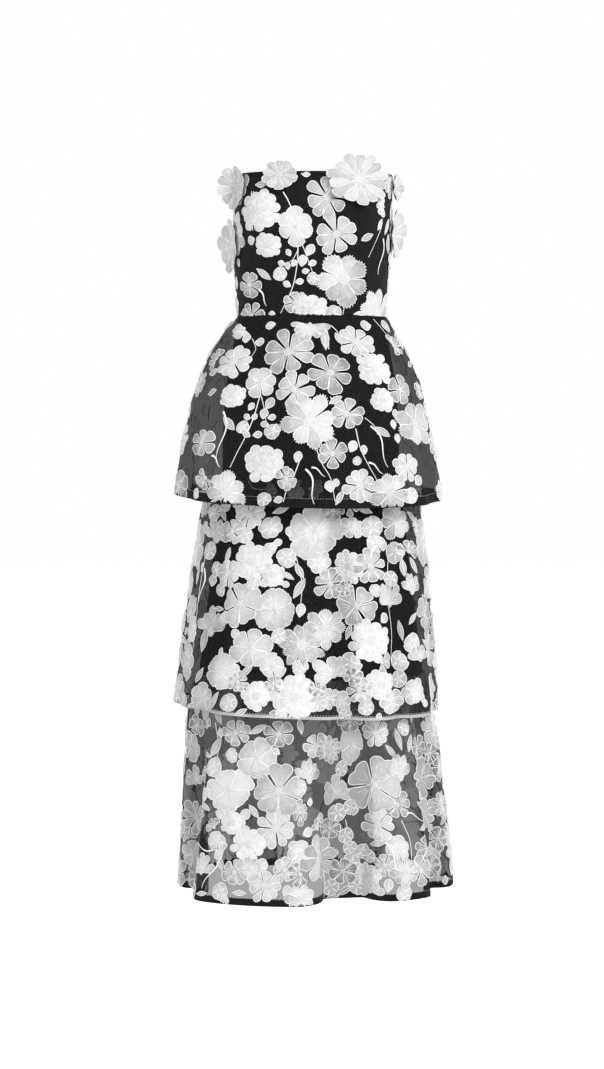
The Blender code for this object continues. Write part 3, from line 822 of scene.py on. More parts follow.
def petal(shape, foot, length, half_width, fill, lift, cup, cord):
    """One petal along +across, from its foot outwards, as arrays for Stitches.add."""
    profile = np.array(PETAL_SHAPES[shape])
    way_back = profile[-2::-1]
    along = np.concatenate([profile[:, 0], way_back[:, 0]])
    side = np.concatenate([profile[:, 1], -way_back[:, 1]])
    outline = np.stack([foot + along * length, side * half_width], axis=1)
    count = len(outline)
    middle = np.array([foot + PETAL_MIDDLE * length, 0.0])
    spokes = outline - middle
    reach = np.maximum(np.linalg.norm(spokes, axis=1, keepdims=True), 1e-6)
    inset = min(cord, CORD_MOST * half_width)
    points, uvs = [], []
    for depth, rise in RIM_RINGS:
        ring = middle + spokes * np.maximum(1.0 - depth * inset / reach, RING_LEAST)
        points.append(np.column_stack([ring, np.full(count, lift + rise)]))
        uvs.append(np.column_stack([side, along]))
    inner = middle + spokes * DOME_SHARE
    points.append(np.column_stack([inner, np.full(count, lift + FILL_RISE + cup)]))
    uvs.append(np.column_stack([side * DOME_SHARE,
                                PETAL_MIDDLE + (along - PETAL_MIDDLE) * DOME_SHARE]))
    points.append(np.array([[middle[0], 0.0, lift + FILL_RISE + cup * DOME_TOP]]))
    uvs.append(np.array([[0.0, PETAL_MIDDLE]]))
    faces = [ring_band(ring * count, count) for ring in range(3)]
    faces.append(ring_cap(3 * count, count, 4 * count))
    finishes = [np.full(4 * count, CORD), np.full(3 * count, fill)]
    return (np.concatenate(points), np.concatenate(uvs), np.concatenate(faces),
            np.concatenate(finishes), outline)


def turned(points, angle, place=(0.0, 0.0), stretch=1.0):
    """Turn flat points about the start, stretch them across, and move them."""
    turn = math.radians(angle)
    x = points[:, 0] * math.cos(turn) - points[:, 1] * math.sin(turn)
    y = points[:, 0] * math.sin(turn) + points[:, 1] * math.cos(turn)
    return np.column_stack([x * stretch + place[0], y + place[1], *points[:, 2:].T])


# %% Veins and the reverse side
VEIN_WIDTH = 0.00045
VEIN_SPREAD = 0.45
# a vein's places: along the petal, how far it fans out, and how high on the dome
VEIN_PATH = ((0.22, 0.9, 0.55), (0.58, 1.2, 1.0), (0.84, 1.1, 0.45))
# shorter petals have no veins
VEIN_LEAST = 0.013


def add_veins(stitches, foot, length, half_width, angle, lift, place, stretch, cup, count):
    """Lines of stitches that fan out along a petal, on top of its domed fill."""
    for side in np.linspace(-VEIN_SPREAD, VEIN_SPREAD, count):
        path = np.array([[foot + share * length, side * half_width * share * wide]
                         for share, wide, _ in VEIN_PATH])
        rise = lift + FILL_RISE + cup * np.array([height for _, _, height in VEIN_PATH])
        add_cord(stitches, turned(path, angle, place, stretch), VEIN_WIDTH, VEIN_WIDTH / 2, rise)


def add_petal(stitches, shape, foot, length, half_width, fill, angle, lift=0.0, place=(0.0, 0.0),
              stretch=1.0, reverse=True, cup=PETAL_CUP, cord=CORD_WIDTH, tone=0.5, veins=0):
    """Stitch one petal, and its reverse side."""
    points, uvs, faces, finishes, outline = petal(shape, foot, length, half_width, fill, lift,
                                                  cup, cord)
    stitches.add(turned(points, angle, place, stretch), uvs, faces, finishes, tone)
    if veins and length > VEIN_LEAST:
        add_veins(stitches, foot, length, half_width, angle, lift, place, stretch, cup, veins)
    if reverse:
        count = len(outline)
        back = np.vstack([outline, [[foot + PETAL_MIDDLE * length, 0.0]]])
        back = np.column_stack([back, np.full(count + 1, REVERSE_LIFT)])
        stitches.add(turned(back, angle, place, stretch), back[:, :2] * 0.0,
                     ring_cap(0, count, count), np.full(count, REVERSE), tone)


# %% [markdown]
# ## Flower middles
# The middle of each flower is a small padded disc with knots on it. A knot is a low dome.

# %% Middles and knots
DISC_SIDES = 12
DISC_SHADE = 0.1
DISC_RISE = 0.0012
# a dome's shoulder ring, as shares of its radius and its height
SHOULDER = (0.72, 0.8)
KNOT_SIDES = 5
KNOT_RISE = 0.0011
KNOT_SEAT = 0.0006
# a knot's radius is this share of the disc's, and no less than this in metres
KNOT_SHARE = 0.16
KNOT_LEAST = 0.0011
# the knots lie on a sunflower's spiral, which fills a disc evenly
SPIRAL_TURN = 2.39996
SPIRAL_REACH = 0.86
SPIRAL_START = 0.6


def add_dome(stitches, place, radius, height, base, sides, fill, stretch=1.0):
    """A low dome: a foot ring, a shoulder ring and a top point."""
    turn = np.arange(sides) * 2 * math.pi / sides
    circle = np.column_stack([np.cos(turn) * stretch, np.sin(turn)])
    shoulder, rise = SHOULDER
    rings = [np.column_stack([circle * radius + place, np.full(sides, base)]),
             np.column_stack([circle * radius * shoulder + place,
                              np.full(sides, base + height * rise)]),
             np.array([[place[0], place[1], base + height]])]
    points = np.concatenate(rings)
    faces = np.concatenate([ring_band(0, sides), ring_cap(sides, sides, 2 * sides)])
    uvs = np.column_stack([(points[:, 0] - place[0]) / radius, np.full(len(points), DISC_SHADE)])
    stitches.add(points, uvs, faces, np.full(len(faces), fill))


def add_middle(stitches, radius, knots, base, stretch=1.0, unit=1.0, reverse=True):
    """A padded disc, covered with knots. unit is what the radius is measured in, in metres."""
    add_dome(stitches, np.zeros(2), radius, DISC_RISE, base, DISC_SIDES, DENSE, stretch)
    if reverse:
        turn = np.arange(DISC_SIDES) * 2 * math.pi / DISC_SIDES
        back = np.column_stack([np.append(np.cos(turn), 0.0) * radius * stretch,
                                np.append(np.sin(turn), 0.0) * radius,
                                np.full(DISC_SIDES + 1, REVERSE_LIFT)])
        stitches.add(back, back[:, :2] * 0.0, ring_cap(0, DISC_SIDES, DISC_SIDES),
                     np.full(DISC_SIDES, REVERSE))
    for index in range(knots):
        turn = index * SPIRAL_TURN
        ring = radius * SPIRAL_REACH * math.sqrt((index + SPIRAL_START) / knots)
        place = np.array([ring * math.cos(turn) * stretch, ring * math.sin(turn)])
        size = max(KNOT_LEAST / unit, KNOT_SHARE * radius)
        add_dome(stitches, place, size, KNOT_RISE, base + KNOT_SEAT, KNOT_SIDES, CORD, stretch)


# %% [markdown]
# ## Kinds of flower
# Each kind is a few rings of petals round a middle. The kinds are ordinary garden flowers:
# cosmos, pinks, daisies and chrysanthemums, and small fillers such as florets and buds.

# %% Flower recipes
# rings of petals: shape, count, foot and tip as shares of the radius, width, fill, lift.
# Then the middle's share of the radius, its knots, and the rays of thread round it.
FLOWER_RINGS = {
    "cosmos": ((("notched", 8, 0.12, 1.0, 1.06, SHEER, 0.0),), 0.18, 9, 0),
    "clear": ((("notched", 6, 0.10, 1.0, 1.02, GAUZE, 0.0),), 0.15, 6, 0),
    "heart": ((("heart", 5, 0.07, 1.0, 1.10, SHEER, 0.0),), 0.16, 8, 0),
    "toothed": ((("toothed", 8, 0.10, 1.0, 1.14, MIXED, 0.0),), 0.24, 14, 14),
    "pink": ((("scalloped", 6, 0.05, 1.0, 1.16, DENSE, 0.0),), 0.12, 4, 18),
    "ball": ((("round", 10, 0.24, 1.0, 1.45, PACKED, 0.0),
              ("round", 7, 0.10, 0.72, 1.40, PACKED, 0.0010)), 0.30, 7, 0),
    "daisy": ((("round", 9, 0.14, 1.0, 1.20, DENSE, 0.0),), 0.22, 9, 0),
    "mum": ((("round", 11, 0.16, 1.0, 1.34, PACKED, 0.0),
             ("round", 8, 0.06, 0.66, 1.30, PACKED, 0.0010)), 0.26, 8, 0),
    "poppy": ((("broad", 5, 0.03, 1.0, 1.16, DENSE, 0.0),), 0.13, 7, 12),
    "floret": ((("round", 5, 0.10, 1.0, 1.20, DENSE, 0.0),), 0.20, 3, 0),
    "fringed": ((("toothed", 11, 0.10, 1.0, 1.20, SHEER, 0.0),), 0.30, 12, 18),
}
PETAL_SPACING = 0.62
VEINS = {"notched": 2, "toothed": 3, "broad": 3, "scalloped": 2, "heart": 3}
RAY_START, RAY_END = 0.10, 0.50
RAY_UNEVEN = 0.25
RAY_WIDTH = 0.0004
RAY_LIFT = 0.0002
# hand work is uneven: in the length and width of the petals, and in degrees of their turn. The
# odd factors inside the sines only keep neighbours from being alike.
PETAL_UNEVEN = 0.11
WIDTH_UNEVEN = 0.10
PETAL_SWAY = 5.0
# each ring of petals is turned from the one below it
RING_TURN = 17.0
# every second petal lies over its neighbours
OVERLAP_LIFT = 0.0003
DOME_RISE = 0.035
# the middle sinks between the cords
MIDDLE_SEAT = 0.6


# %% Rays and whole flowers
def add_rays(stitches, radius, count, turn, stretch, lift, spread):
    """Straight stitches that burst from the middle of a flower."""
    for index in range(count):
        away = 360.0 * (index + 0.5) / count
        angle = turn + away
        if abs(away_from(away, 0.0)) > spread / 2:
            continue
        reach = RAY_END * radius * (1.0 + RAY_UNEVEN * math.sin(5.3 * index + turn))
        ray = np.array([[RAY_START * radius, 0.0], [reach, 0.0]])
        add_cord(stitches, turned(ray, angle, stretch=stretch), RAY_WIDTH, RAY_WIDTH / 2, lift)


def add_flower(stitches, kind, radius, turn, stretch=1.0, petals=0, spread=360.0):
    """A flower seen from above. One that a fold cuts keeps the petals within a spread."""
    rings, middle, knots, rays = FLOWER_RINGS[kind]
    for level, (shape, count, foot, tip, width, fill, lift) in enumerate(rings):
        count = petals if petals and level == 0 else count
        half_width = width * tip * radius * math.tan(math.pi / count) * PETAL_SPACING
        for index in range(count):
            sway = PETAL_SWAY * math.sin(4.7 * index + 0.3 * turn)
            angle = turn + 360.0 * index / count + RING_TURN * level + sway
            if abs(away_from(angle, turn)) > spread / 2:
                continue
            vary = 1.0 + PETAL_UNEVEN * math.sin(2.3 * index + turn)
            # painted sheen: a petal is lighter or darker by its angle, as satin stitches catch the
            # light by the way they run. The same tone picks the fill of a mixed flower.
            tone = 0.5 + 0.5 * math.cos(math.radians(angle - 2.1 * turn) + 0.8 * (index % 2))
            finish = fill if fill != MIXED else DENSE if tone > MIXED_TONE else SHEER
            add_petal(stitches, shape, foot * radius, (tip - foot) * radius * vary,
                      half_width * (1.0 + WIDTH_UNEVEN * math.sin(3.9 * index + turn)), finish,
                      angle, lift + OVERLAP_LIFT * (index % 2), stretch=stretch,
                      reverse=level == 0, cup=DOME_RISE * radius, tone=tone,
                      veins=VEINS.get(shape, 0))
    top = rings[-1][-1] + CORD_RISE * MIDDLE_SEAT
    add_rays(stitches, radius, rays, turn, stretch, top + RAY_LIFT, spread)
    add_middle(stitches, middle * radius, knots, top, stretch)


# %% Leaves, stems and squiggles
# a leaf's rib: where it runs, in radii from the foot, its half widths at each end, and its lift
RIB_PLACES = (0.1, 1.0, 1.8)
RIB_WIDTHS = (0.0005, 0.0003)
RIB_LIFT = 0.0009


def add_leaf(stitches, radius, turn, slim, fill, shape):
    """A leaf or bud, lying across its middle, with a corded rib."""
    start = turned(np.array([[-radius, 0.0]]), turn)[0]
    add_petal(stitches, shape, 0.0, 2 * radius, slim * radius, fill, turn, place=start)
    rib = np.array([[share * radius, 0.0] for share in RIB_PLACES])
    add_cord(stitches, turned(rib, turn, start), *RIB_WIDTHS, lift=RIB_LIFT)


def add_cord(stitches, path, start_width, end_width, lift=0.0):
    """A corded stem: a flat ribbon with a raised crest. The widths are half widths."""
    path = np.asarray(path)[:, :2]
    ahead = np.gradient(path, axis=0)
    ahead /= np.maximum(np.linalg.norm(ahead, axis=1, keepdims=True), 1e-9)
    side = np.column_stack([-ahead[:, 1], ahead[:, 0]])
    count = len(path)
    widths = np.linspace(start_width, end_width, count)[:, None]
    foot = lift + np.zeros(count)
    crest = foot + np.minimum(CORD_RISE, widths[:, 0])
    lines = [np.column_stack([path + side * widths, foot]), np.column_stack([path, crest]),
             np.column_stack([path - side * widths, foot])]
    points = np.concatenate(lines)
    step = np.arange(count - 1)
    faces = []
    for line in (0, 1):
        near = line * count + step
        far = near + count
        faces.append(np.stack([near, far, far + 1], 1))
        faces.append(np.stack([near, far + 1, near + 1], 1))
    faces = np.concatenate(faces)
    stitches.add(points, points[:, :2] * 0.0, faces, np.full(len(faces), CORD))


def smooth_path(places, steps=6):
    """A smooth line through a few places."""
    places = np.asarray(places, float)
    ends = np.vstack([2 * places[0] - places[1], places, 2 * places[-1] - places[-2]])
    line = []
    for index in range(1, len(ends) - 2):
        before, start, end, after = ends[index - 1:index + 3]
        for share in np.arange(steps) / steps:
            line.append(0.5 * (2 * start + (end - before) * share
                               + (2 * before - 5 * start + 4 * end - after) * share ** 2
                               + (3 * start - before - 3 * end + after) * share ** 3))
    return np.array(line + [places[-1]])


# %% One motif of any kind
CUT_FLOWERS = {"half": "poppy", "half_toothed": "toothed", "half_clear": "clear"}
CUT_SPREAD = 190.0
# a seam that runs through a flower shows as two lines of stitches
SEAM_HALF_GAP = 0.0022
SEAM_HALF_WIDTH = 0.0007
SEAM_LIFT = 0.0026
# how slim a leaf or bud is, its fill and its petal shape
LEAVES = {"leaf": (0.36, SHEER, "leaf"), "leaf_dense": (0.36, DENSE, "leaf"),
          "bud": (0.72, DENSE, "drop")}
SQUIGGLE_POINTS = 14
SQUIGGLE_BEND = 0.22
SQUIGGLE_TURNS = 5.2
# a squiggle's waves get this much smaller towards its tip
SQUIGGLE_CALMS = 0.3
SQUIGGLE_WIDTHS = (0.0013, 0.0004)


def draw_motif(kind, radius, turn, stretch, petals):
    """The stitches of one motif about its own middle."""
    stitches = Stitches()
    if kind in FLOWER_RINGS:
        add_flower(stitches, kind, radius, turn, stretch, petals)
    elif kind in CUT_FLOWERS:
        add_flower(stitches, CUT_FLOWERS[kind], radius, turn, stretch, petals * 2, CUT_SPREAD)
    elif kind in LEAVES:
        slim, fill, shape = LEAVES[kind]
        add_leaf(stitches, radius, turn, slim * stretch, fill, shape)
    elif kind == "seam":
        for side in (-SEAM_HALF_GAP, SEAM_HALF_GAP):
            line = np.array([[-radius, side], [0.0, side], [radius, side]])
            add_cord(stitches, turned(line, turn), SEAM_HALF_WIDTH, SEAM_HALF_WIDTH, SEAM_LIFT)
    elif kind == "squiggle":
        waves = np.linspace(0.0, 1.0, SQUIGGLE_POINTS)
        bend = SQUIGGLE_BEND * radius * np.sin(waves * SQUIGGLE_TURNS) * (1 - SQUIGGLE_CALMS * waves)
        path = np.column_stack([(waves * 2 - 1) * radius, bend])
        start_width, end_width = SQUIGGLE_WIDTHS
        add_cord(stitches, turned(path, turn), start_width * stretch, end_width)
    return stitches


# %% [markdown]
# ## Where the flowers lie
# The front follows the photograph flower by flower. Each row gives the kind, the pixel of its
# middle, its radius in pixels and its turn. A row that needs them also gives how far the flower
# is stretched across, and its count of petals, where none means the usual count of its kind. The
# camera's numbers turn the pixel into a place on the cloth.

# %% Flowers of the front
# kind, photo column, photo row, radius in photo pixels, turn, and then stretch and petals where
# they aren't the usual ones
USUAL = [1.0, 0]
FRONT_FLOWERS = {
    "bodice": (
        ("mum", 258, 210, 21, 10), ("pink", 296, 227, 19, 30), ("ball", 267.5, 246, 13, 0),
        ("cosmos", 327, 197, 22, 100), ("cosmos", 336, 235, 21, 22),
        ("toothed", 344, 280, 27, 80, 1.0, 7), ("clear", 250, 285, 14, 60, 0.75),
        ("cosmos", 296, 302, 12, 40, 1.0, 6), ("mum", 311, 310, 17, 0, 1.0, 9),
        ("floret", 333, 313, 8, 20), ("half_toothed", 378, 316, 27, 88, 0.62, 5),
        ("leaf_dense", 360, 315, 10, 5, 1.2), ("floret", 279.5, 274, 7, 0),
        ("floret", 313, 280, 6.5, 30), ("bud", 289, 253, 4, 120), ("bud", 282, 263, 4, 160),
        ("bud", 288, 267, 4, 100), ("bud", 294, 263, 4, 60), ("bud", 303, 260, 6, 80, 1.1),
        ("bud", 310, 250, 6.5, 60), ("bud", 312, 264, 4.5, 20), ("bud", 305.5, 271, 4, 190),
        ("bud", 287, 283, 4.5, 150), ("bud", 299, 281.5, 4.5, 10),
        ("leaf", 264, 273.5, 10, -36, 0.9), ("leaf", 261, 184, 7, 0, 1.3),
        ("leaf", 367, 238, 8, 205, 1.1), ("leaf", 388, 244, 10, 285), ("leaf", 391, 214, 12, 85),
        ("half", 383, 206, 10, 180, 1.0, 4), ("leaf_dense", 380, 224, 7, 60, 1.2),
        ("bud", 251.5, 241, 5, 200, 1.2), ("half_clear", 252, 316, 14, 110, 1.0, 4),
        ("bud", 306, 174, 5, 0), ("squiggle", 381, 256, 18, 268, 1.3),
        ("squiggle", 263, 297, 9, 300, 1.2), ("leaf", 243, 320, 9, 20), ("bud", 272, 320, 5, 90),
        ("half_clear", 397, 268, 10, 120, 0.6, 3), ("seam", 252.5, 211, 19, 90),
    ),
    "tier_1": (
        ("cosmos", 288.5, 351, 24, 22), ("cosmos", 295, 390, 19, 50, 1.0, 7),
        ("daisy", 234, 362, 17, 10), ("pink", 260, 381, 16, 10), ("ball", 232, 397, 12.5, 0),
        ("half", 244, 329, 13, 230, 1.0, 5), ("toothed", 310, 422, 28, 12),
        ("mum", 264, 463, 20, 0, 1.0, 9), ("cosmos", 286, 478, 13, 100, 0.8, 6),
        ("clear", 202, 442, 15, 40, 0.9), ("toothed", 226, 492, 22, 30, 1.0, 7),
        ("daisy", 356, 342, 17, 15), ("mum", 374.5, 369, 18, 12), ("ball", 382, 400, 12.5, 8),
        ("clear", 331, 374, 22, 80, 1.0, 7), ("cosmos", 347, 416, 16, 70, 1.0, 7),
        ("clear", 332, 454, 15, 90), ("daisy", 360, 488, 17, 30),
        ("toothed", 389, 493, 20, 45, 1.0, 7), ("toothed", 415, 423, 24, 0, 0.9, 7),
        ("clear", 400, 388, 15, 0, 0.8, 5), ("daisy", 406, 467, 15, 20, 0.8, 8),
        ("floret", 410, 497, 8, 0), ("half_clear", 393, 346, 12, 10, 0.7, 4),
        ("bud", 396, 330, 6, 80), ("bud", 271, 325, 5, 200, 1.2), ("bud", 260, 342, 5, 0, 1.1),
        ("bud", 247, 339, 5, 100, 1.2), ("bud", 251, 406, 4.5, 60), ("bud", 270, 404, 6.5, 60),
        ("bud", 263.5, 413, 5.5, 80, 1.1), ("bud", 271.5, 418, 4.5, 10),
        ("bud", 265, 424, 4.5, 170), ("bud", 254.5, 416, 4, 60), ("bud", 247, 416, 4, 140),
        ("bud", 247, 435, 4.5, 150), ("bud", 258, 434, 5, 10), ("floret", 243, 427, 6.5, 0),
        ("floret", 273, 433, 8, 40), ("leaf", 229, 425, 10, -42, 1.1),
        ("squiggle", 221, 437, 26, 275, 1.6), ("squiggle", 217, 461, 8, 320, 1.3),
        ("bud", 298.5, 457, 6, 75), ("floret", 264, 499, 7, 20), ("bud", 278, 500, 5, 20),
        ("squiggle", 311, 488, 18, 288, 1.7), ("leaf_dense", 325, 339, 13, 90, 0.85),
        ("leaf", 338, 338, 7, 110, 1.1), ("floret", 315.5, 333, 5.5, 0),
        ("leaf", 383, 431, 9, -35, 1.1), ("squiggle", 380, 445, 22, 292, 1.7),
        ("bud", 352, 448, 6.5, 60), ("bud", 364, 451, 5, 90), ("floret", 357, 460, 4.5, 0),
        ("bud", 330, 488, 6, 100, 1.3), ("floret", 336, 481, 4, 0),
        ("squiggle", 376, 467, 9, 325, 1.2), ("squiggle", 318, 471, 8, 330, 1.2),
        ("bud", 395, 415, 5, 88, 0.8), ("bud", 394, 426, 5, 92, 0.8),
        ("bud", 397, 438, 5, 88, 0.8), ("leaf", 336, 400, 8, 30, 1.2),
        ("half_clear", 217, 358, 12, 160, 0.8, 4), ("leaf", 214, 372, 8, 200, 1.2),
        ("leaf", 212, 391, 8, 20, 1.2), ("half_clear", 206, 476, 13, 230, 0.8, 4),
        ("leaf", 199, 482, 9, 160, 1.1), ("bud", 196, 494, 6, 150), ("bud", 418, 479, 6, 40, 0.9),
        ("half", 310, 324, 17, 265, 1.0, 6), ("bud", 386, 325, 7, 100, 1.1),
        ("bud", 366, 326, 6, 180), ("leaf", 340, 497, 9, 60),
    ),
    "tier_2": (
        ("daisy", 249, 516, 16, 0), ("half_toothed", 217, 540, 22, 80, 0.6, 5),
        ("cosmos", 233, 532, 13, 40, 0.8, 7), ("pink", 270, 529, 12, 0),
        ("poppy", 314, 530, 27, 20), ("mum", 252, 562, 20, 0), ("daisy", 229, 572, 15, 20, 0.9, 8),
        ("floret", 245, 537, 8, 0), ("floret", 269, 550, 7, 40), ("floret", 287, 557, 10, 10),
        ("ball", 272, 576, 12.5, 0), ("poppy", 275, 610, 23, 60, 0.85),
        ("heart", 240, 603, 22, 20, 0.9), ("pink", 250, 648, 21, 20),
        ("half_toothed", 211, 630, 24, 90, 0.6, 5), ("floret", 273, 665, 13, 30),
        ("fringed", 302, 645, 23, 10), ("mum", 293, 696, 25, 10), ("ball", 257, 696, 15, 30),
        ("poppy", 221, 670, 18, 0, 0.9), ("pink", 203, 697, 15, 30, 0.8),
        ("floret", 228, 703, 9, 0), ("pink", 351, 529, 12, 15), ("floret", 372, 529, 11, 0),
        ("floret", 376, 543, 9, 50), ("toothed", 395, 524, 18, 30, 0.9, 7),
        ("mum", 349.5, 566, 17, 0), ("cosmos", 370, 566, 18, 10),
        ("floret", 394, 553, 11, 20, 0.9), ("pink", 319, 564, 12, 0), ("cosmos", 330, 586, 16, 30),
        ("heart", 355, 606, 20, 50), ("half", 389, 606, 23, 88, 0.55, 5),
        ("toothed", 325, 630, 21, 0), ("mum", 371, 643, 22, 0),
        ("half", 333, 676, 21, 100, 0.9, 4), ("pink", 343, 700, 12, 10, 0.8),
        ("floret", 352, 661, 10, 30), ("ball", 380, 687, 16, 0), ("pink", 392, 703, 13, 0, 0.9),
        ("floret", 412, 643, 10, 0, 0.8), ("pink", 414, 692, 14, 0, 0.8),
        ("half", 420, 662, 17, 92, 0.6, 5), ("half_toothed", 412, 592, 19, 86, 0.5, 5),
        ("half_clear", 408, 552, 13, 60, 0.8, 4), ("squiggle", 201, 590, 20, 265, 1.2),
        ("bud", 213, 582, 6, 80, 0.9), ("floret", 210, 552, 9, 0, 0.8),
        ("leaf", 205, 640, 14, 80, 0.7), ("leaf", 299, 590, 12, 60),
        ("leaf", 300, 570, 9, 120, 1.1), ("bud", 300, 610, 7, 80), ("floret", 279, 637, 8, 0),
        ("leaf", 349, 633, 9, 70), ("clear", 345, 590, 9, 0), ("leaf_dense", 316, 668, 10, 120),
        ("bud", 290, 530, 6, 130, 1.1), ("leaf", 280, 512, 9, 20), ("clear", 333, 512, 12, 0),
        ("floret", 390, 580, 8, 10, 0.9), ("bud", 384, 620, 6, 40),
        ("leaf", 400, 630, 11, 100, 0.8), ("floret", 398, 662, 10, 30, 0.9),
        ("bud", 264, 585, 5, 20), ("floret", 254, 585, 7, 20), ("bud", 236, 635, 6, 130),
        ("leaf", 365, 512, 9, 160), ("clear", 276, 718, 10, 0), ("floret", 318, 704, 9, 0),
        ("leaf", 240, 712, 8, 30), ("cosmos", 359, 689, 14, 10), ("clear", 354, 674, 9, 20),
        ("daisy", 329, 698, 11, 0, 1.0, 8), ("floret", 366, 706, 8, 0),
        ("cosmos", 238, 684, 11, 30), ("clear", 273, 685, 9, 0), ("floret", 300, 669, 8, 20),
        ("floret", 346, 714, 7, 40), ("clear", 316, 688, 9, 15), ("floret", 398, 680, 9, 0, 0.9),
    ),
    "tier_3": (
        ("clear", 197, 727, 11, 30, 0.8, 5), ("cosmos", 236, 734, 14, 20, 1.0, 7),
        ("poppy", 257, 759, 20, 0), ("clear", 279, 736, 15, 40), ("poppy", 229, 791, 22, 40),
        ("heart", 278, 791, 26, 18), ("ball", 232, 824, 12.5, 0),
        ("half", 196, 785, 18, 95, 0.6, 5), ("fringed", 204, 812, 14, 0, 0.7),
        ("floret", 217, 840, 10, 30), ("daisy", 276, 828, 20, 10, 1.0, 10),
        ("mum", 249, 844, 18, 0), ("pink", 300, 852, 14, 10),
        ("cosmos", 284.5, 870, 13, 30, 1.0, 7), ("daisy", 264, 886, 17, 0),
        ("clear", 234, 872, 14, 20), ("leaf", 221, 862, 9, 110), ("clear", 301, 812, 13, 30, 0.6),
        ("half_toothed", 309, 781, 22, 85, 0.55, 5), ("floret", 261, 864, 7, 0),
        ("bud", 286, 889, 6, 60), ("toothed", 299, 898, 15, 20, 1.0, 7),
        ("half_clear", 189, 836, 12, 100, 0.7, 4), ("half", 201, 872, 19, 95, 0.6, 5),
        ("cosmos", 316, 744, 13, 0, 0.9, 6), ("fringed", 329, 747, 15, 20, 0.9),
        ("poppy", 350, 744, 20, 20, 0.55), ("daisy", 376, 734, 15, 0, 0.9),
        ("half", 337, 795, 22, 95, 0.6, 4), ("heart", 373, 784, 27, 0),
        ("half_toothed", 400, 776, 24, 92, 0.5, 5), ("heart", 420, 777, 20, 30, 0.85, 6),
        ("clear", 397, 805, 15, 0, 0.8, 7), ("daisy", 377, 824, 17, 30),
        ("daisy", 423, 813, 17, 0, 0.8), ("pink", 397, 849, 15, 10, 0.9),
        ("toothed", 318, 857, 23, 10), ("clear", 329, 827, 12, 0), ("floret", 337, 811, 9, 0),
        ("floret", 350, 808, 8, 30), ("floret", 345, 835, 8, 0), ("floret", 350, 846, 7, 20),
        ("floret", 362, 849, 8, 40), ("floret", 369, 857, 7, 10), ("floret", 352, 863, 10, 30),
        ("cosmos", 385, 866, 13, 0, 0.9, 7), ("bud", 388, 884, 7, 80),
        ("clear", 426, 848, 15, 0, 0.8, 7), ("clear", 420, 871, 15, 30, 0.8),
        ("half", 371, 890, 15, 95, 0.7, 4), ("floret", 404, 892, 9, 0, 0.9),
        ("leaf_dense", 438, 867, 14, 88, 0.6), ("leaf", 258, 728, 10, 30),
        ("leaf", 216, 749, 12, 60), ("floret", 215, 768, 10, 0, 0.9), ("leaf", 300, 728, 9, 100),
        ("clear", 350, 722, 13, 0), ("leaf", 398, 738, 12, 100, 0.7),
        ("clear", 416, 746, 13, 0, 0.8), ("floret", 342, 768, 8, 0, 0.8),
        ("leaf", 345, 890, 10, 30), ("floret", 330, 887, 9, 0), ("floret", 356, 884, 9, 10),
        ("bud", 245, 815, 7, 60), ("leaf", 254, 812, 9, 130), ("floret", 301, 786, 8, 0, 0.8),
        ("leaf", 255, 776, 9, 160), ("bud", 307, 832, 6, 20), ("floret", 220, 890, 9, 0, 0.9),
        ("leaf", 240, 893, 8, 0), ("poppy", 250, 868, 13, 10), ("clear", 343, 872, 15, 15),
        ("toothed", 405, 872, 15, 20, 0.9, 7), ("half_clear", 300, 876, 13, 200, 1.0, 4),
        ("mum", 369, 876, 13, 0), ("leaf", 330, 898, 10, 20), ("squiggle", 322, 884, 16, 280, 1.2),
        ("squiggle", 392, 858, 20, 300, 1.2), ("squiggle", 212, 868, 22, 250, 1.3),
        ("clear", 430, 866, 12, 30, 0.7),
    ),
}
# cloth, width at the start and the end in millimetres, and the pixels the stem passes
STEMS = (
    ("bodice", 1.9, 1.6, ((283, 192), (288, 200), (293, 211))),
    ("bodice", 1.7, 1.0, ((298, 244), (297, 262), (293, 284), (285, 302), (277, 318))),
    ("bodice", 1.3, 0.8, ((298, 250), (292, 260), (284, 264))),
    ("bodice", 1.5, 0.8, ((301, 243), (306, 256), (311, 270), (314, 280))),
    ("bodice", 1.4, 0.8, ((381, 228), (375, 240), (367, 258))),
    ("bodice", 1.2, 0.8, ((345, 306), (343, 318))),
    ("bodice", 1.0, 0.8, ((278, 236), (273, 240))),
    ("bodice", 1.2, 0.8, ((366, 300), (369, 314))),
    ("tier_1", 1.7, 1.0, ((260, 398), (256, 420), (249, 440), (242, 456), (236, 471))),
    ("tier_1", 1.4, 0.8, ((262, 396), (267, 410), (271, 428))),
    ("tier_1", 1.2, 0.8, ((256, 414), (251, 418), (243, 424))),
    ("tier_1", 1.5, 1.0, ((299, 462), (294, 476), (287, 490), (283, 504))),
    ("tier_1", 1.5, 0.9, ((316, 449), (322, 464), (330, 478), (334, 500))),
    ("tier_1", 1.6, 0.9, ((355, 428), (358, 448), (366, 466), (376, 484))),
    ("tier_1", 1.5, 1.2, ((326, 325), (327, 340), (326, 352))),
    ("tier_1", 1.5, 1.0, ((331, 326), (337, 334), (340, 350))),
    ("tier_1", 1.4, 1.0, ((330, 396), (334, 404), (338, 410))),
    ("tier_1", 1.3, 1.0, ((364, 417), (373, 425), (376, 434))),
    ("tier_1", 1.2, 0.8, ((252, 338), (258, 346), (260, 352), (255, 364))),
    ("tier_1", 1.2, 0.8, ((373, 320), (381, 336), (384, 344))),
    ("tier_2", 1.4, 0.9, ((205, 560), (200, 600), (204, 640), (199, 680))),
    ("tier_2", 1.3, 0.9, ((296, 560), (302, 586), (300, 620))),
    ("tier_2", 1.3, 0.9, ((388, 560), (384, 590), (388, 630), (384, 660))),
    ("tier_3", 1.4, 0.9, ((216, 722), (222, 750), (214, 775))),
    ("tier_3", 1.4, 0.9, ((345, 818), (350, 840), (358, 862))),
    ("tier_3", 1.3, 0.9, ((402, 822), (410, 846), (408, 880))),
)
# the width of a pixel at one metre from the camera
METRES_PER_PIXEL = 1.0 / FOCAL_PIXELS
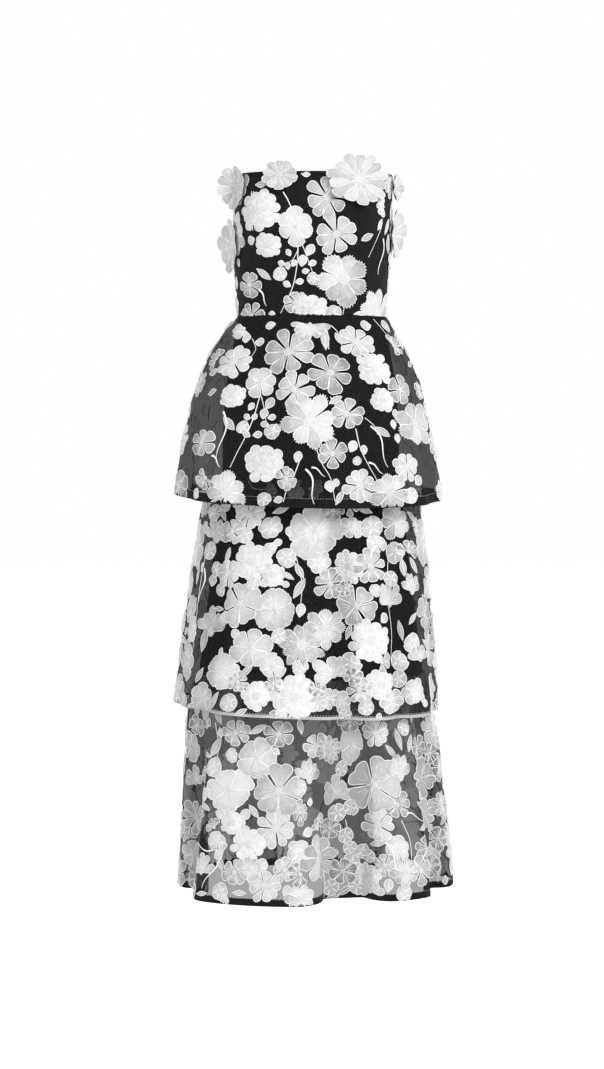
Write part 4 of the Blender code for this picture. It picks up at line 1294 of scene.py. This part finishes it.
# stem widths are whole and in millimetres, and a cord takes half widths in metres
HALVES_PER_METRE = 2000.0
print("flowers placed by hand", sum(len(rows) for rows in FRONT_FLOWERS.values()))

# %% [markdown]
# ## The sides and the back
# The photograph doesn't show them, so they are scattered with the same kinds, at the same sizes
# and as densely as the front: sparse at the waist and crowded at the hem. Large flowers go first,
# and small ones fill the gaps. The scatter is seeded, so it is the same every time.

# %% Scatter
# kind, share of the large flowers, radius range in metres
SCATTER = {
    "bodice": (("mum", 2, 0.026, 0.034), ("cosmos", 3, 0.028, 0.036), ("pink", 2, 0.024, 0.030),
               ("toothed", 2, 0.034, 0.044), ("clear", 1, 0.022, 0.030), ("ball", 1, 0.019, 0.023)),
    "tier_1": (("cosmos", 4, 0.026, 0.038), ("toothed", 3, 0.034, 0.044), ("mum", 2, 0.028, 0.033),
               ("daisy", 3, 0.024, 0.029), ("pink", 2, 0.022, 0.028), ("clear", 2, 0.022, 0.034),
               ("ball", 2, 0.019, 0.022)),
    "tier_2": (("poppy", 3, 0.030, 0.042), ("heart", 3, 0.030, 0.038),
               ("toothed", 3, 0.030, 0.040), ("mum", 3, 0.028, 0.040),
               ("cosmos", 3, 0.026, 0.032), ("pink", 3, 0.020, 0.034),
               ("fringed", 1, 0.032, 0.037), ("daisy", 2, 0.024, 0.028),
               ("ball", 2, 0.019, 0.025)),
    "tier_3": (("cosmos", 3, 0.024, 0.036), ("heart", 3, 0.032, 0.044),
               ("toothed", 3, 0.030, 0.038), ("poppy", 2, 0.030, 0.036),
               ("daisy", 3, 0.026, 0.033), ("mum", 2, 0.028, 0.032),
               ("fringed", 1, 0.022, 0.026), ("pink", 2, 0.022, 0.026),
               ("clear", 2, 0.020, 0.026)),
}
# the small kinds, where leaves come in two sizes: kind, radius range in metres
SMALL = (("floret", 0.010, 0.015), ("bud", 0.007, 0.011), ("leaf", 0.014, 0.022),
         ("squiggle", 0.018, 0.034), ("leaf", 0.012, 0.018), ("half_clear", 0.016, 0.024),
         ("clear", 0.014, 0.024), ("cosmos", 0.016, 0.024), ("daisy", 0.014, 0.020))
# how many of the small kinds fill the gaps at the front
FRONT_KINDS = 6
# how near two flowers may stand, as a share of their radii: at the top and at the hem
CLOSENESS = {"bodice": (1.12, 1.02), "tier_1": (1.10, 1.00), "tier_2": (0.86, 0.76),
             "tier_3": (0.92, 0.72)}
TRIES = {"bodice": (500, 260), "tier_1": (900, 520), "tier_2": (1500, 1000), "tier_3": (2200, 1000)}
# the front of each cloth, in degrees, where the scatter adds no large flowers
FRONT_LIMIT = {"bodice": 58.0, "tier_1": 74.0, "tier_2": 67.0, "tier_3": 67.0}
# the cloths whose gaps at the front are filled with small flowers
FRONT_FILLED = ("tier_2", "tier_3")
# deep folds that the photograph shows nearly bare: middle and half width in degrees
VALLEYS = {"bodice": (), "tier_1": (), "tier_2": ((13.5, 5.0), (41.0, 4.0)),
           "tier_3": ((13.0, 10.0), (60.0, 5.0), (-64.0, 4.0), (166.0, 4.0), (-157.0, 3.0),
                      (128.0, 3.0), (-122.0, 3.0))}
# rows that are kept free at the top and the lower edge
FREE_ROWS = {"bodice": 1.5, "tier_1": 0.5, "tier_2": 0.5, "tier_3": 0.5}
# the zip's side of a flower on the bodice's back stays this many degrees clear
ZIP_CLEARANCE = 3.0
BACK_RADIUS = 0.09
# slim and small motifs take up less room than their radius
SMALL_ROOM = 0.72
SLIM_KINDS = ("bud", "leaf", "leaf_dense", "squiggle", "half_clear", "seam")
# the kinds that are stitched close, and so look white
WHITEST = ("mum", "ball", "daisy")
# a motif's tone comes from its row, its angle and its size, so it is uneven but stays the same
TONE_PACES = (12.9, 7.7, 31.0)
# towards the camera's edge of the cloth a flower is stretched to the width that it shows
LEAST_FACING = 0.5
MOST_STRETCH = 1.35


# %% Motifs on a cloth
class Motif:
    """One motif on a cloth: its kind, its start, its size and the room that it takes."""

    def __init__(self, cloth, kind, row, angle, radius, turn, small, stretch=1.0, petals=0):
        self.kind, self.row, self.angle = kind, row, angle
        self.radius, self.turn, self.stretch, self.petals = radius, turn, stretch, petals
        self.reach = radius * (SMALL_ROOM if small else 1.0)
        here = np.array([row])
        columns = cloth.column(np.array([angle]))
        self.place = cloth.read(cloth.points, here, columns)[0]
        self.level = 0
        by_row, by_angle, by_size = TONE_PACES
        self.tone = 0.5 + 0.5 * math.sin(by_row * row + by_angle * angle
                                         + by_size * radius / CORD_WIDTH)
        if kind in WHITEST:
            self.tone = 0.5 + 0.5 * self.tone


def front_motifs(name):
    """The motifs that the photograph shows on one cloth."""
    cloth = cloths[name]
    found = []
    for kind, column, row, size, turn, *given in FRONT_FLOWERS[name]:
        stretch, petals = given + USUAL[len(given):]
        start, angle = cloth.find_pixel(column, row)
        node = int(start), int(round(cloth.column(angle)))
        depth = cloth.points[node][1] - camera_place[1]
        facing = abs(cloth.normals[node][1])
        seen_stretch = min(stretch / max(facing, LEAST_FACING), MOST_STRETCH)
        found.append(Motif(cloth, kind, start, angle, size * depth * METRES_PER_PIXEL, turn,
                           kind in SLIM_KINDS, seen_stretch, petals))
    return found


def scatter_motifs(name, motifs, rng):
    """Fill the sides and the back of one cloth round the motifs that it already has."""
    cloth = cloths[name]
    kinds = SCATTER[name]
    weights = np.array([kind[1] for kind in kinds], float)
    near_top, near_hem = CLOSENESS[name]
    large_tries, small_tries = TRIES[name]
    free = FREE_ROWS[name]
    for attempt in range(large_tries + small_tries):
        angle = rng.uniform(-180.0, 180.0)
        front = abs(angle) < FRONT_LIMIT[name]
        if attempt < large_tries:
            kind, _, low, high = kinds[rng.choice(len(kinds), p=weights / weights.sum())]
        else:
            in_front = FRONT_KINDS if front else len(SMALL)
            kind, low, high = SMALL[rng.integers(in_front)]
        row = rng.uniform(free, ROWS - 1 - free)
        size = rng.uniform(low, high)
        turn = rng.uniform(0.0, 360.0)
        if front and not (name in FRONT_FILLED and attempt >= large_tries):
            continue
        zip_edge = ZIP_SEAM - math.degrees(size / BACK_RADIUS) - ZIP_CLEARANCE
        if name == "bodice" and abs(angle) > zip_edge:
            continue
        share = row / (ROWS - 1)
        near = near_top + (near_hem - near_top) * share
        if any(abs(angle - middle) < half for middle, half in VALLEYS[name]):
            continue
        motif = Motif(cloth, kind, row, angle, size, turn, attempt >= large_tries)
        gaps = [np.linalg.norm(motif.place - other.place) - near * (motif.reach + other.reach)
                for other in motifs]
        if min(gaps) > 0.0:
            motifs.append(motif)


# %% Levels and stems
LEVEL_LIFT = 0.0005
LEVELS = 6
# two motifs cross when they are nearer than this share of their radii
CROSSING = 0.92


def set_levels(motifs):
    """Lift each motif above those that it crosses."""
    for index, motif in enumerate(motifs):
        under = [other.level for other in motifs[:index]
                 if np.linalg.norm(motif.place - other.place)
                 < CROSSING * (motif.radius + other.radius)]
        free = [level for level in range(LEVELS) if level not in under]
        motif.level = min((level for level in free if level > max(under, default=-1)),
                          default=free[0] if free else LEVELS)


def stem_motifs(name):
    """Stems, each a stitched line along the pixels that it passes."""
    cloth = cloths[name]
    drawn = []
    for stem_cloth, start_width, end_width, pixels in STEMS:
        if stem_cloth != name:
            continue
        path = smooth_path(pixels)
        row, angle = cloth.find_pixel(*path[0])
        depth = cloth.points[int(row), int(round(cloth.column(angle))), 1] - camera_place[1]
        flat = (path - path[0]) * np.array([1.0, -1.0]) * depth * METRES_PER_PIXEL
        stitches = Stitches()
        add_cord(stitches, flat, start_width / HALVES_PER_METRE, end_width / HALVES_PER_METRE)
        drawn.append((row, angle, stitches))
    return drawn


# %% Laying the stitches
# the lining hides the reverse of the stitches
LINED = ("bodice",)
# how much of the tone is the flower's own. The rest is the petal's, which holds its painted sheen.
FLOWER_TONE = 0.55
# painted shade: a fold that falls in by this much darkens the thread in it by this much tone
FOLD_SHADE_DEPTH = 0.012
FOLD_SHADE_TONE = 1.3


def painted_fold_shade(cloth, angles):
    """How much tone the thread loses to painted shade in the folds that fall in."""
    if cloth.name not in TIER_FOLDS:
        return 0.0
    return FOLD_SHADE_TONE * np.clip(-fold_reach(cloth.name, angles) / FOLD_SHADE_DEPTH, 0.0, 1.0)


def lay_stitches(cloth, row, angle, stitches, base, own_tone):
    """Lay flat stitches on the cloth, paint shade on the thread in the folds, and drop what falls
    off its edges.
    """
    points, uvs, faces, finishes, tones = stitches.joined()
    lift = np.where(points[:, 2] > REVERSE_LIFT / 2, points[:, 2] + base, points[:, 2])
    start = np.full(len(points), float(row))
    placed, inside, angles = cloth.lay(start, np.full(len(points), angle), points[:, 0],
                                       points[:, 1], lift)
    # the flower's tone and the petal's tone, less the painted shade of the folds
    tones = FLOWER_TONE * own_tone + (1.0 - FLOWER_TONE) * tones - painted_fold_shade(cloth, angles)
    keep = inside[faces].all(axis=1)
    if cloth.name in LINED:
        keep &= finishes != REVERSE
    return placed, uvs, faces[keep], finishes[keep], tones


BASE_LIFT = 0.0004
STEM_TONE = 0.8


def embroider(name, panels, rng):
    """Stitch all the motifs of one cloth, as one piece for each panel."""
    cloth = cloths[name]
    motifs = front_motifs(name)
    scatter_motifs(name, motifs, rng)
    set_levels(motifs)
    drawn = [(row, angle, stitches, 0.0, STEM_TONE)
             for row, angle, stitches in stem_motifs(name)]
    for motif in motifs:
        stitches = draw_motif(motif.kind, motif.radius, motif.turn, motif.stretch, motif.petals)
        drawn.append((motif.row, motif.angle, stitches, motif.level * LEVEL_LIFT, motif.tone))
    for panel, start, end in panels:
        pieces = []
        for row, angle, stitches, base, tone in drawn:
            turned_angle = angle + 360.0 if angle < start else angle
            if start <= turned_angle < end:
                pieces.append(lay_stitches(cloth, row, away_from(angle, 0.0), stitches,
                                           BASE_LIFT + base, tone))
        counts = np.cumsum([0] + [len(piece[0]) for piece in pieces])
        faces = np.concatenate([piece[2] + count for piece, count in zip(pieces, counts)])
        points, uvs, finishes, tones = (np.concatenate([piece[part] for piece in pieces])
                                        for part in (0, 1, 3, 4))
        used = np.unique(faces)
        place = np.zeros(len(points), dtype=np.int64)
        place[used] = np.arange(len(used))
        make_piece(panel + "_embroidery", points[used], place[faces], THREAD_MATERIALS,
                   face_materials=finishes, uvs=uvs[used],
                   tones=tones[used])
        print(f"{panel}: {len(pieces)} motifs, {len(faces)} triangles")


# %% Stitch every cloth
# the bodice's embroidery is in three parts, and each tier's follows its panels
EMBROIDERED = {
    "bodice": (("bodice_front", -PRINCESS_SEAM, PRINCESS_SEAM),
               ("bodice_left", PRINCESS_SEAM, ZIP_SEAM),
               ("bodice_right", -ZIP_SEAM, -PRINCESS_SEAM)),
}
for tier in TIER_SECTIONS:
    EMBROIDERED[tier] = [(panel, start, end) for panel, cloth_name, start, end, _ in PANELS
                         if cloth_name == tier]
FIRST_SEED = 11
for seed, (name, panels) in enumerate(EMBROIDERED.items(), FIRST_SEED):
    embroider(name, panels, np.random.default_rng(seed))

# %% [markdown]
# ## Loose organza flowers
# Six flowers of stiff white organza stand off the top edge and the sides. Every petal is its own
# curved piece of cloth with a corded rim. All are laid on the flower's own dished surface, which
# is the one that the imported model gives, so that they stay where the solid flowers are.

# %% Loose flowers
# name, angle, height, across and up radii, petals, lift of the tips, heading of a free half
LOOSE_FLOWERS = (
    ("flower_top_left", 33.0, 0.2219, 0.057, 0.045, 14, 0.010, None),
    ("flower_top_centre", -22.0, 0.2280, 0.031, 0.026, 10, 0.007, None),
    ("flower_top_right", -70.0, 0.2130, 0.038, 0.040, 11, 0.007, 166.0),
    ("flower_side_left", 84.0, 0.2150, 0.028, 0.026, 8, 0.008, 58.0),
    ("flower_side_left_low", 88.0, 0.1400, 0.038, 0.046, 9, 0.007, 58.0),
    ("flower_side_right", -84.0, 0.1180, 0.040, 0.047, 9, 0.007, 124.0),
)
LOOSE_CLEARANCE = 0.0012
# a free half reaches further at its top than at its foot
FREE_LEAN = 0.22
# an outer petal's foot and length as shares of the flower, its width, dome and uneven length
OUTER_FOOT, OUTER_LENGTH, OUTER_WIDTH, OUTER_CUP, OUTER_UNEVEN = 0.03, 0.97, 0.80, 0.0016, 0.06
OUTER_TURN = 90.0
OUTER_OVERLAP = 0.0006
# the inner ring has fewer and shorter petals, and lies on the outer one
INNER_FOOT, INNER_LENGTH, INNER_WIDTH, INNER_LIFT = 0.02, 0.36, 0.34, 0.0012
INNER_TURN = 78.0
FEWER_PETALS, LEAST_PETALS = 4, 5
RIPPLE = 0.0012
LOOSE_DISC, LOOSE_KNOTS, LOOSE_DISC_LIFT = 0.16, 16, 0.0016
# petals of cut cloth are narrow at the foot
PETAL_SHAPES["wedge"] = ((0.0, 0.08), (0.18, 0.26), (0.40, 0.50), (0.62, 0.78), (0.80, 1.0),
                         (0.90, 0.90), (0.96, 0.68), (0.985, 0.40), (0.98, 0.18), (1.0, 0.0))
organza = make_thread("organza_light", (0.34, 0.34, 0.34), (0.50, 0.50, 0.497), 2.6)


def loose_base(flower, across, up):
    """The cloth under points of a loose flower, or the free half that stands beside the body."""
    _, angle, height, _, up_radius, _, _, heading = flower
    step = body_points([angle + 1.0, angle - 1.0], height)
    metres_per_degree = np.linalg.norm(step[0] - step[1]) / 2
    there = angle + across / metres_per_degree
    base = body_points(there, height + up)
    outward, _ = ring_directions(BODY_SECTIONS, there, height + up)
    if heading is not None:
        side = math.copysign(1.0, angle)
        turn = math.radians(heading)
        direction = np.array([math.cos(turn), math.sin(turn), 0.0])
        free = (across * side > 0)[:, None]
        lean = 1.0 + FREE_LEAN * up / up_radius
        straight = body_points(angle, height + up) + direction * (np.abs(across) * lean)[:, None]
        base = np.where(free, straight, base)
        facing = np.array([direction[1], -direction[0], 0.0]) * side
        outward = np.where(free, facing, outward)
    return base, outward


def loose_petals(across, count):
    """The two rings of petals of a loose flower, on a flat disc whose radius is one."""
    stitches = Stitches()
    cord = CORD_WIDTH / across
    half_width = OUTER_WIDTH * math.tan(math.pi / count)
    for index in range(count):
        angle = OUTER_TURN + 360.0 * index / count
        vary = 1.0 - OUTER_UNEVEN * (1 + math.sin(3.1 * index + across * 900))
        tone = 0.5 + 0.5 * math.sin(2.7 * index + across * 500)
        add_petal(stitches, "wedge", OUTER_FOOT, OUTER_LENGTH * vary, half_width, SHEER, angle,
                  OUTER_OVERLAP * (index % 2), reverse=False, cup=OUTER_CUP, cord=cord, tone=tone)
    inner = max(count - FEWER_PETALS, LEAST_PETALS)
    for index in range(inner):
        angle = INNER_TURN + 360.0 * index / inner
        add_petal(stitches, "round", INNER_FOOT, INNER_LENGTH,
                  INNER_WIDTH * math.tan(math.pi / inner), SHEER, angle, INNER_LIFT,
                  reverse=False, cord=cord)
    return stitches


# %% Make the loose flowers
def make_loose_flower(flower):
    """One loose flower: its petals as one piece, and its middle as another."""
    name, _, _, across, up, count, lift, _ = flower
    knots = Stitches()
    add_middle(knots, LOOSE_DISC, LOOSE_KNOTS, LOOSE_DISC_LIFT, unit=across, reverse=False)
    for ending, stitches in (("_petals", loose_petals(across, count)), ("_knots", knots)):
        points, uvs, faces, finishes, tones = stitches.joined()
        base, outward = loose_base(flower, points[:, 0] * across, points[:, 1] * up)
        rise = LOOSE_CLEARANCE + points[:, 2]
        if ending == "_petals":
            share = np.linalg.norm(points[:, :2], axis=1)
            turn = np.arctan2(points[:, 1], points[:, 0])
            ripple = RIPPLE * share ** 2 * np.cos(turn * count - math.pi / 2 * count)
            rise = LOOSE_CLEARANCE + lift * share ** 2 + ripple + points[:, 2]
        piece = make_piece(name + ending, base + outward * rise[:, None], faces,
                           [organza, dense_fill, cord_thread],
                           face_materials=finishes, uvs=uvs, tones=tones)
        if ending == "_petals":
            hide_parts(name)


for flower in LOOSE_FLOWERS:
    make_loose_flower(flower)
print("loose flowers", len(LOOSE_FLOWERS))

# %% [markdown]
# ## Bands, seams and stitches
# The hems are turned up into black bands, and a narrow band covers the waist seam. Each is a thin
# strip that follows the cloth. The stitches are short raised dashes of thread along the seams.

# %% Bands
BAND_ROWS = 4
# a band's edges lie lower than its middle
BAND_EDGE = 0.5
# the drop from one row to the next, which only scales the band's weave
WEAVE_DROP = 0.005


def lay_band(name, cloth, start_row, end_row, half_turn, lift, material):
    """A strip of cloth over a few rows of another cloth, round the body as far as half_turn."""
    angles = np.arange(-half_turn, half_turn + ANGLE_STEP / 2, ANGLE_STEP)
    rows = np.linspace(start_row, end_row, BAND_ROWS)
    profile = np.full(BAND_ROWS, lift)
    profile[[0, -1]] = lift * BAND_EDGE
    columns = cloth.column(angles)
    points = []
    for row, rise in zip(rows, profile):
        here = np.full(len(angles), row)
        points.append(cloth.read(cloth.points, here, columns)
                      + cloth.read(cloth.normals, here, columns) * rise)
    points = np.array(points)
    length = np.radians(angles) * TIER_RADIUS
    uvs = np.stack(np.broadcast_arrays(length[None, :], -rows[:, None] * WEAVE_DROP), axis=-1)
    return make_piece(name, points.reshape(-1, 3), grid_faces(BAND_ROWS, len(angles)),
                      [material], uvs=uvs.reshape(-1, 2))


def row_of(cloth, height_from_hem):
    """The row that lies a distance above the lower edge."""
    return ROWS - 1 - height_from_hem / float(cloth.row_step[-1].mean())


HEM_BANDS = {"tier_1": (0.015, band_cloth), "tier_2": (0.005, gauze_fill),
             "tier_3": (0.012, band_cloth)}
HEM_LIFT = 0.0002
WAIST_BAND_WIDTH = 0.0018
WAIST_BAND_LIFT = 0.0008
BINDING_ROWS = 1.3
BINDING_LIFT = 0.0012
# the binding stops at the zip
BINDING_HALF_TURN = 179.0
for name, (width, finish) in HEM_BANDS.items():
    hem = cloths[name]
    lay_band(name + "_hem_band", hem, row_of(hem, width), ROWS - 1, ZIP_SEAM, HEM_LIFT,
             finish)
bodice = cloths["bodice"]
lay_band("waist_band", bodice, row_of(bodice, WAIST_BAND_WIDTH), ROWS - 1, ZIP_SEAM,
         WAIST_BAND_LIFT, band_cloth)
lay_band("top_binding", bodice, 0.0, BINDING_ROWS, BINDING_HALF_TURN, BINDING_LIFT, band_cloth)

# %% Stitches along the seams
STITCH_LENGTH = 0.0032
STITCH_GAP = 0.0016
STITCH_HALF_WIDTH = 0.00035
# a dash's ends lie lower than its middle: the share that is level, and the share that rises
STITCH_LEVEL, STITCH_RISE = 0.7, 0.3
LINE_READINGS = 1400


def stitch_line(name, cloth, row, lift, material):
    """Short raised dashes along one row of a cloth, all round it."""
    angles = np.linspace(-ZIP_SEAM, ZIP_SEAM, LINE_READINGS)
    here = np.full(len(angles), float(row))
    along = cloth.read(cloth.along, here, cloth.column(angles))
    begins = np.arange(along[0], along[-1] - STITCH_LENGTH, STITCH_LENGTH + STITCH_GAP)
    points, faces = [], []
    half = STITCH_HALF_WIDTH / float(cloth.row_step[int(min(row, ROWS - 2))].mean())
    for begin in begins:
        places = np.interp([begin, begin + STITCH_LENGTH / 2, begin + STITCH_LENGTH], along, angles)
        rows = np.array([row, row - half, row + half, row])
        turns = np.array([places[0], places[1], places[1], places[2]])
        rises = np.array([0.0, 1.0, 1.0, 0.0]) * lift * STITCH_RISE + lift * STITCH_LEVEL
        columns = cloth.column(turns)
        spots = (cloth.read(cloth.points, rows, columns)
                 + cloth.read(cloth.normals, rows, columns) * rises[:, None])
        first = len(points)
        points.extend(spots)
        faces.extend([(first, first + 2, first + 1), (first + 1, first + 2, first + 3)])
    return make_piece(name, np.array(points), np.array(faces), [material])


# name, tier, row, lift of a dash, thread
STITCH_LINES = (
    ("tier_2_hem_stitches", "tier_2", row_of(cloths["tier_2"], 0.0065), 0.0012, cord_thread),
    ("tier_2_edge_stitches", "tier_2", ROWS - 1.2, 0.0014, cord_thread),
    ("tier_1_hem_stitches", "tier_1", row_of(cloths["tier_1"], 0.0145), 0.0012, sheer_fill),
    ("tier_3_hem_stitches", "tier_3", row_of(cloths["tier_3"], 0.0115), 0.0012, sheer_fill),
)
for name, tier, row, lift, thread in STITCH_LINES:
    stitch_line(name, cloths[tier], row, lift, thread)

# %% [markdown]
# ## The zip
# The zip is closed. A coil zip shows as one narrow row of small teeth between two tapes, so the
# teeth are little bars, turned left and right in turn. The slider and its pull are the packed solids
# themselves, with a dark metal finish.

# %% Zip
ZIP_HALF_WIDTH = 0.0027
ZIP_TOP = 0.208
ZIP_BOTTOM = -0.180
TOOTH_PITCH = 0.0016
TOOTH_SIZE = (0.0026, 0.0009, 0.0009)
# the teeth stand left and right in turn, and their outer faces are smaller
TOOTH_SHIFT = 0.0006
TOOTH_BEVEL = 0.7
# the tape is longer than the row of teeth at each end
TAPE_END = 0.004
TAPE_ROWS = 60
# across the tape, in half widths, and how high: its edges, the two tapes and their meeting
TAPE_PROFILE = ((1.0, 0.0), (0.55, 1.0), (0.0, 0.5), (-0.55, 1.0), (-1.0, 0.0))
ZIP_LIFT = 0.0004


def make_zip_tape():
    """The two tapes as one strip down the centre back."""
    heights = np.linspace(ZIP_TOP, ZIP_BOTTOM, TAPE_ROWS)
    middle = body_points(ZIP_SEAM, heights)
    columns = [middle + np.array([side * ZIP_HALF_WIDTH, rise * ZIP_LIFT, 0.0])
               for side, rise in TAPE_PROFILE]
    points = np.stack(columns, axis=1)
    uvs = np.stack([points[..., 0], points[..., 2]], axis=-1)
    piece = make_piece("zip_tapes", points.reshape(-1, 3), grid_faces(len(heights), len(columns)),
                       [band_cloth], uvs=uvs.reshape(-1, 2))
    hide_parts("zip_tape")
    return piece


def make_zip_teeth():
    """Interlocking bars, each a bevelled block."""
    heights = np.arange(ZIP_BOTTOM + TAPE_END, ZIP_TOP - TAPE_END, TOOTH_PITCH)
    middle = body_points(ZIP_SEAM, heights)
    half = np.array(TOOTH_SIZE) / 2
    corners = np.array([(x * inset, y, z * inset) for y, inset in ((-1, 1.0), (1, TOOTH_BEVEL))
                        for x, z in ((-1, -1), (1, -1), (1, 1), (-1, 1))])
    sides = np.array([(0, 1, 2, 3), (4, 7, 6, 5), (0, 4, 5, 1), (1, 5, 6, 2), (2, 6, 7, 3),
                      (3, 7, 4, 0)])
    points, faces = [], []
    for index, place in enumerate(middle):
        side = TOOTH_SHIFT if index % 2 else -TOOTH_SHIFT
        shift = np.array([side, ZIP_LIFT + half[1], 0.0])
        points.append(corners * half + place + shift)
        faces.append(sides + index * len(corners))
    return make_piece("zip_teeth", np.concatenate(points), np.concatenate(faces),
                      [zip_plastic])


def make_metal():
    """Dark plated metal, a little worn, for the slider and its pull."""
    material, tree, shader = new_material("dark_zip_metal", (0.10, 0.10, 0.105), 0.32, 0.5)
    shader.inputs["Metallic"].default_value = 1.0
    place = mapped(tree, "Object")
    marks = noise(tree, place, 900.0)
    shade = colour_ramp(tree, marks, ((0.35, (0.06, 0.06, 0.065)), (0.75, (0.22, 0.22, 0.23))))
    tree.links.new(shade, shader.inputs["Base Color"])
    rough = tree.nodes.new("ShaderNodeMapRange")
    rough.inputs["To Min"].default_value = 0.22
    rough.inputs["To Max"].default_value = 0.42
    tree.links.new(marks, rough.inputs["Value"])
    tree.links.new(rough.outputs["Result"], shader.inputs["Roughness"])
    add_bump(tree, shader, marks, 0.0001, 0.3)
    return material


zip_plastic = make_black_cloth("zip_coil", 0.0004, 0.4)
make_zip_tape()
make_zip_teeth()
dark_metal = make_metal()
for name in ("zip_slider", "zip_pull"):
    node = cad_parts[name]
    if not node.material_slots:
        node.data.materials.append(None)
    for slot in node.material_slots:
        slot.link = "OBJECT"
        slot.material = dark_metal

# %% [markdown]
# ## The studio
# The light is white and even, as in a catalogue picture: a white room, a large soft light from
# the upper right, weaker ones from the left and from behind, and a pale floor well below the hem,
# so that no hard shadow falls in view.

# %% Floor and light
FLOOR_HEIGHT = -1.45
FLOOR_SIZE = 30.0


def make_floor():
    """A wide plain pale floor."""
    material, tree, shader = new_material("pale_floor", (0.93, 0.93, 0.93), 0.9, 0.1)
    shader.inputs["Emission Color"].default_value = (1.0, 1.0, 1.0, 1.0)
    shader.inputs["Emission Strength"].default_value = 0.12
    shade = colour_ramp(tree, noise(tree, mapped(tree, "Object"), 3.0),
                        ((0.2, (0.92, 0.92, 0.92)), (0.8, (0.94, 0.94, 0.94))))
    tree.links.new(shade, shader.inputs["Base Color"])
    half = FLOOR_SIZE / 2
    mesh = bpy.data.meshes.new("floor")
    mesh.from_pydata([(-half, -half, FLOOR_HEIGHT), (half, -half, FLOOR_HEIGHT),
                      (half, half, FLOOR_HEIGHT), (-half, half, FLOOR_HEIGHT)], [], [(0, 1, 2, 3)])
    mesh.materials.append(material)
    floor = bpy.data.objects.new("floor", mesh)
    bpy.context.scene.collection.objects.link(floor)
    return floor


def make_light(name, place, target, size, power):
    """A square soft light that looks at a point."""
    data = bpy.data.lights.new(name, "AREA")
    data.size = size
    data.energy = power
    light = bpy.data.objects.new(name, data)
    light.location = place
    light.rotation_euler = (Vector(target) - Vector(place)).to_track_quat("-Z", "Y").to_euler()
    bpy.context.scene.collection.objects.link(light)
    return light


# name, place, the point that it looks at, size in metres, power in watts
LIGHTS = (
    ("key_light", (2.4, -3.2, 2.2), (0.0, 0.0, -0.3), 1.4, 150.0),
    ("fill_light", (-2.8, -2.4, 0.6), (0.0, 0.0, -0.4), 2.0, 24.0),
    ("back_light", (-0.8, 3.6, 2.0), (0.0, 0.0, -0.3), 1.6, 40.0),
)
make_floor()
for light in LIGHTS:
    make_light(*light)
world = bpy.data.worlds.new("white_room")
world.use_nodes = True
room = world.node_tree.nodes["Background"]
room.inputs["Color"].default_value = (1.0, 1.0, 1.0, 1.0)
room.inputs["Strength"].default_value = 1.0
bpy.context.scene.world = world
bpy.context.scene.view_settings.view_transform = "Standard"
bpy.context.scene.cycles.transparent_max_bounces = 32
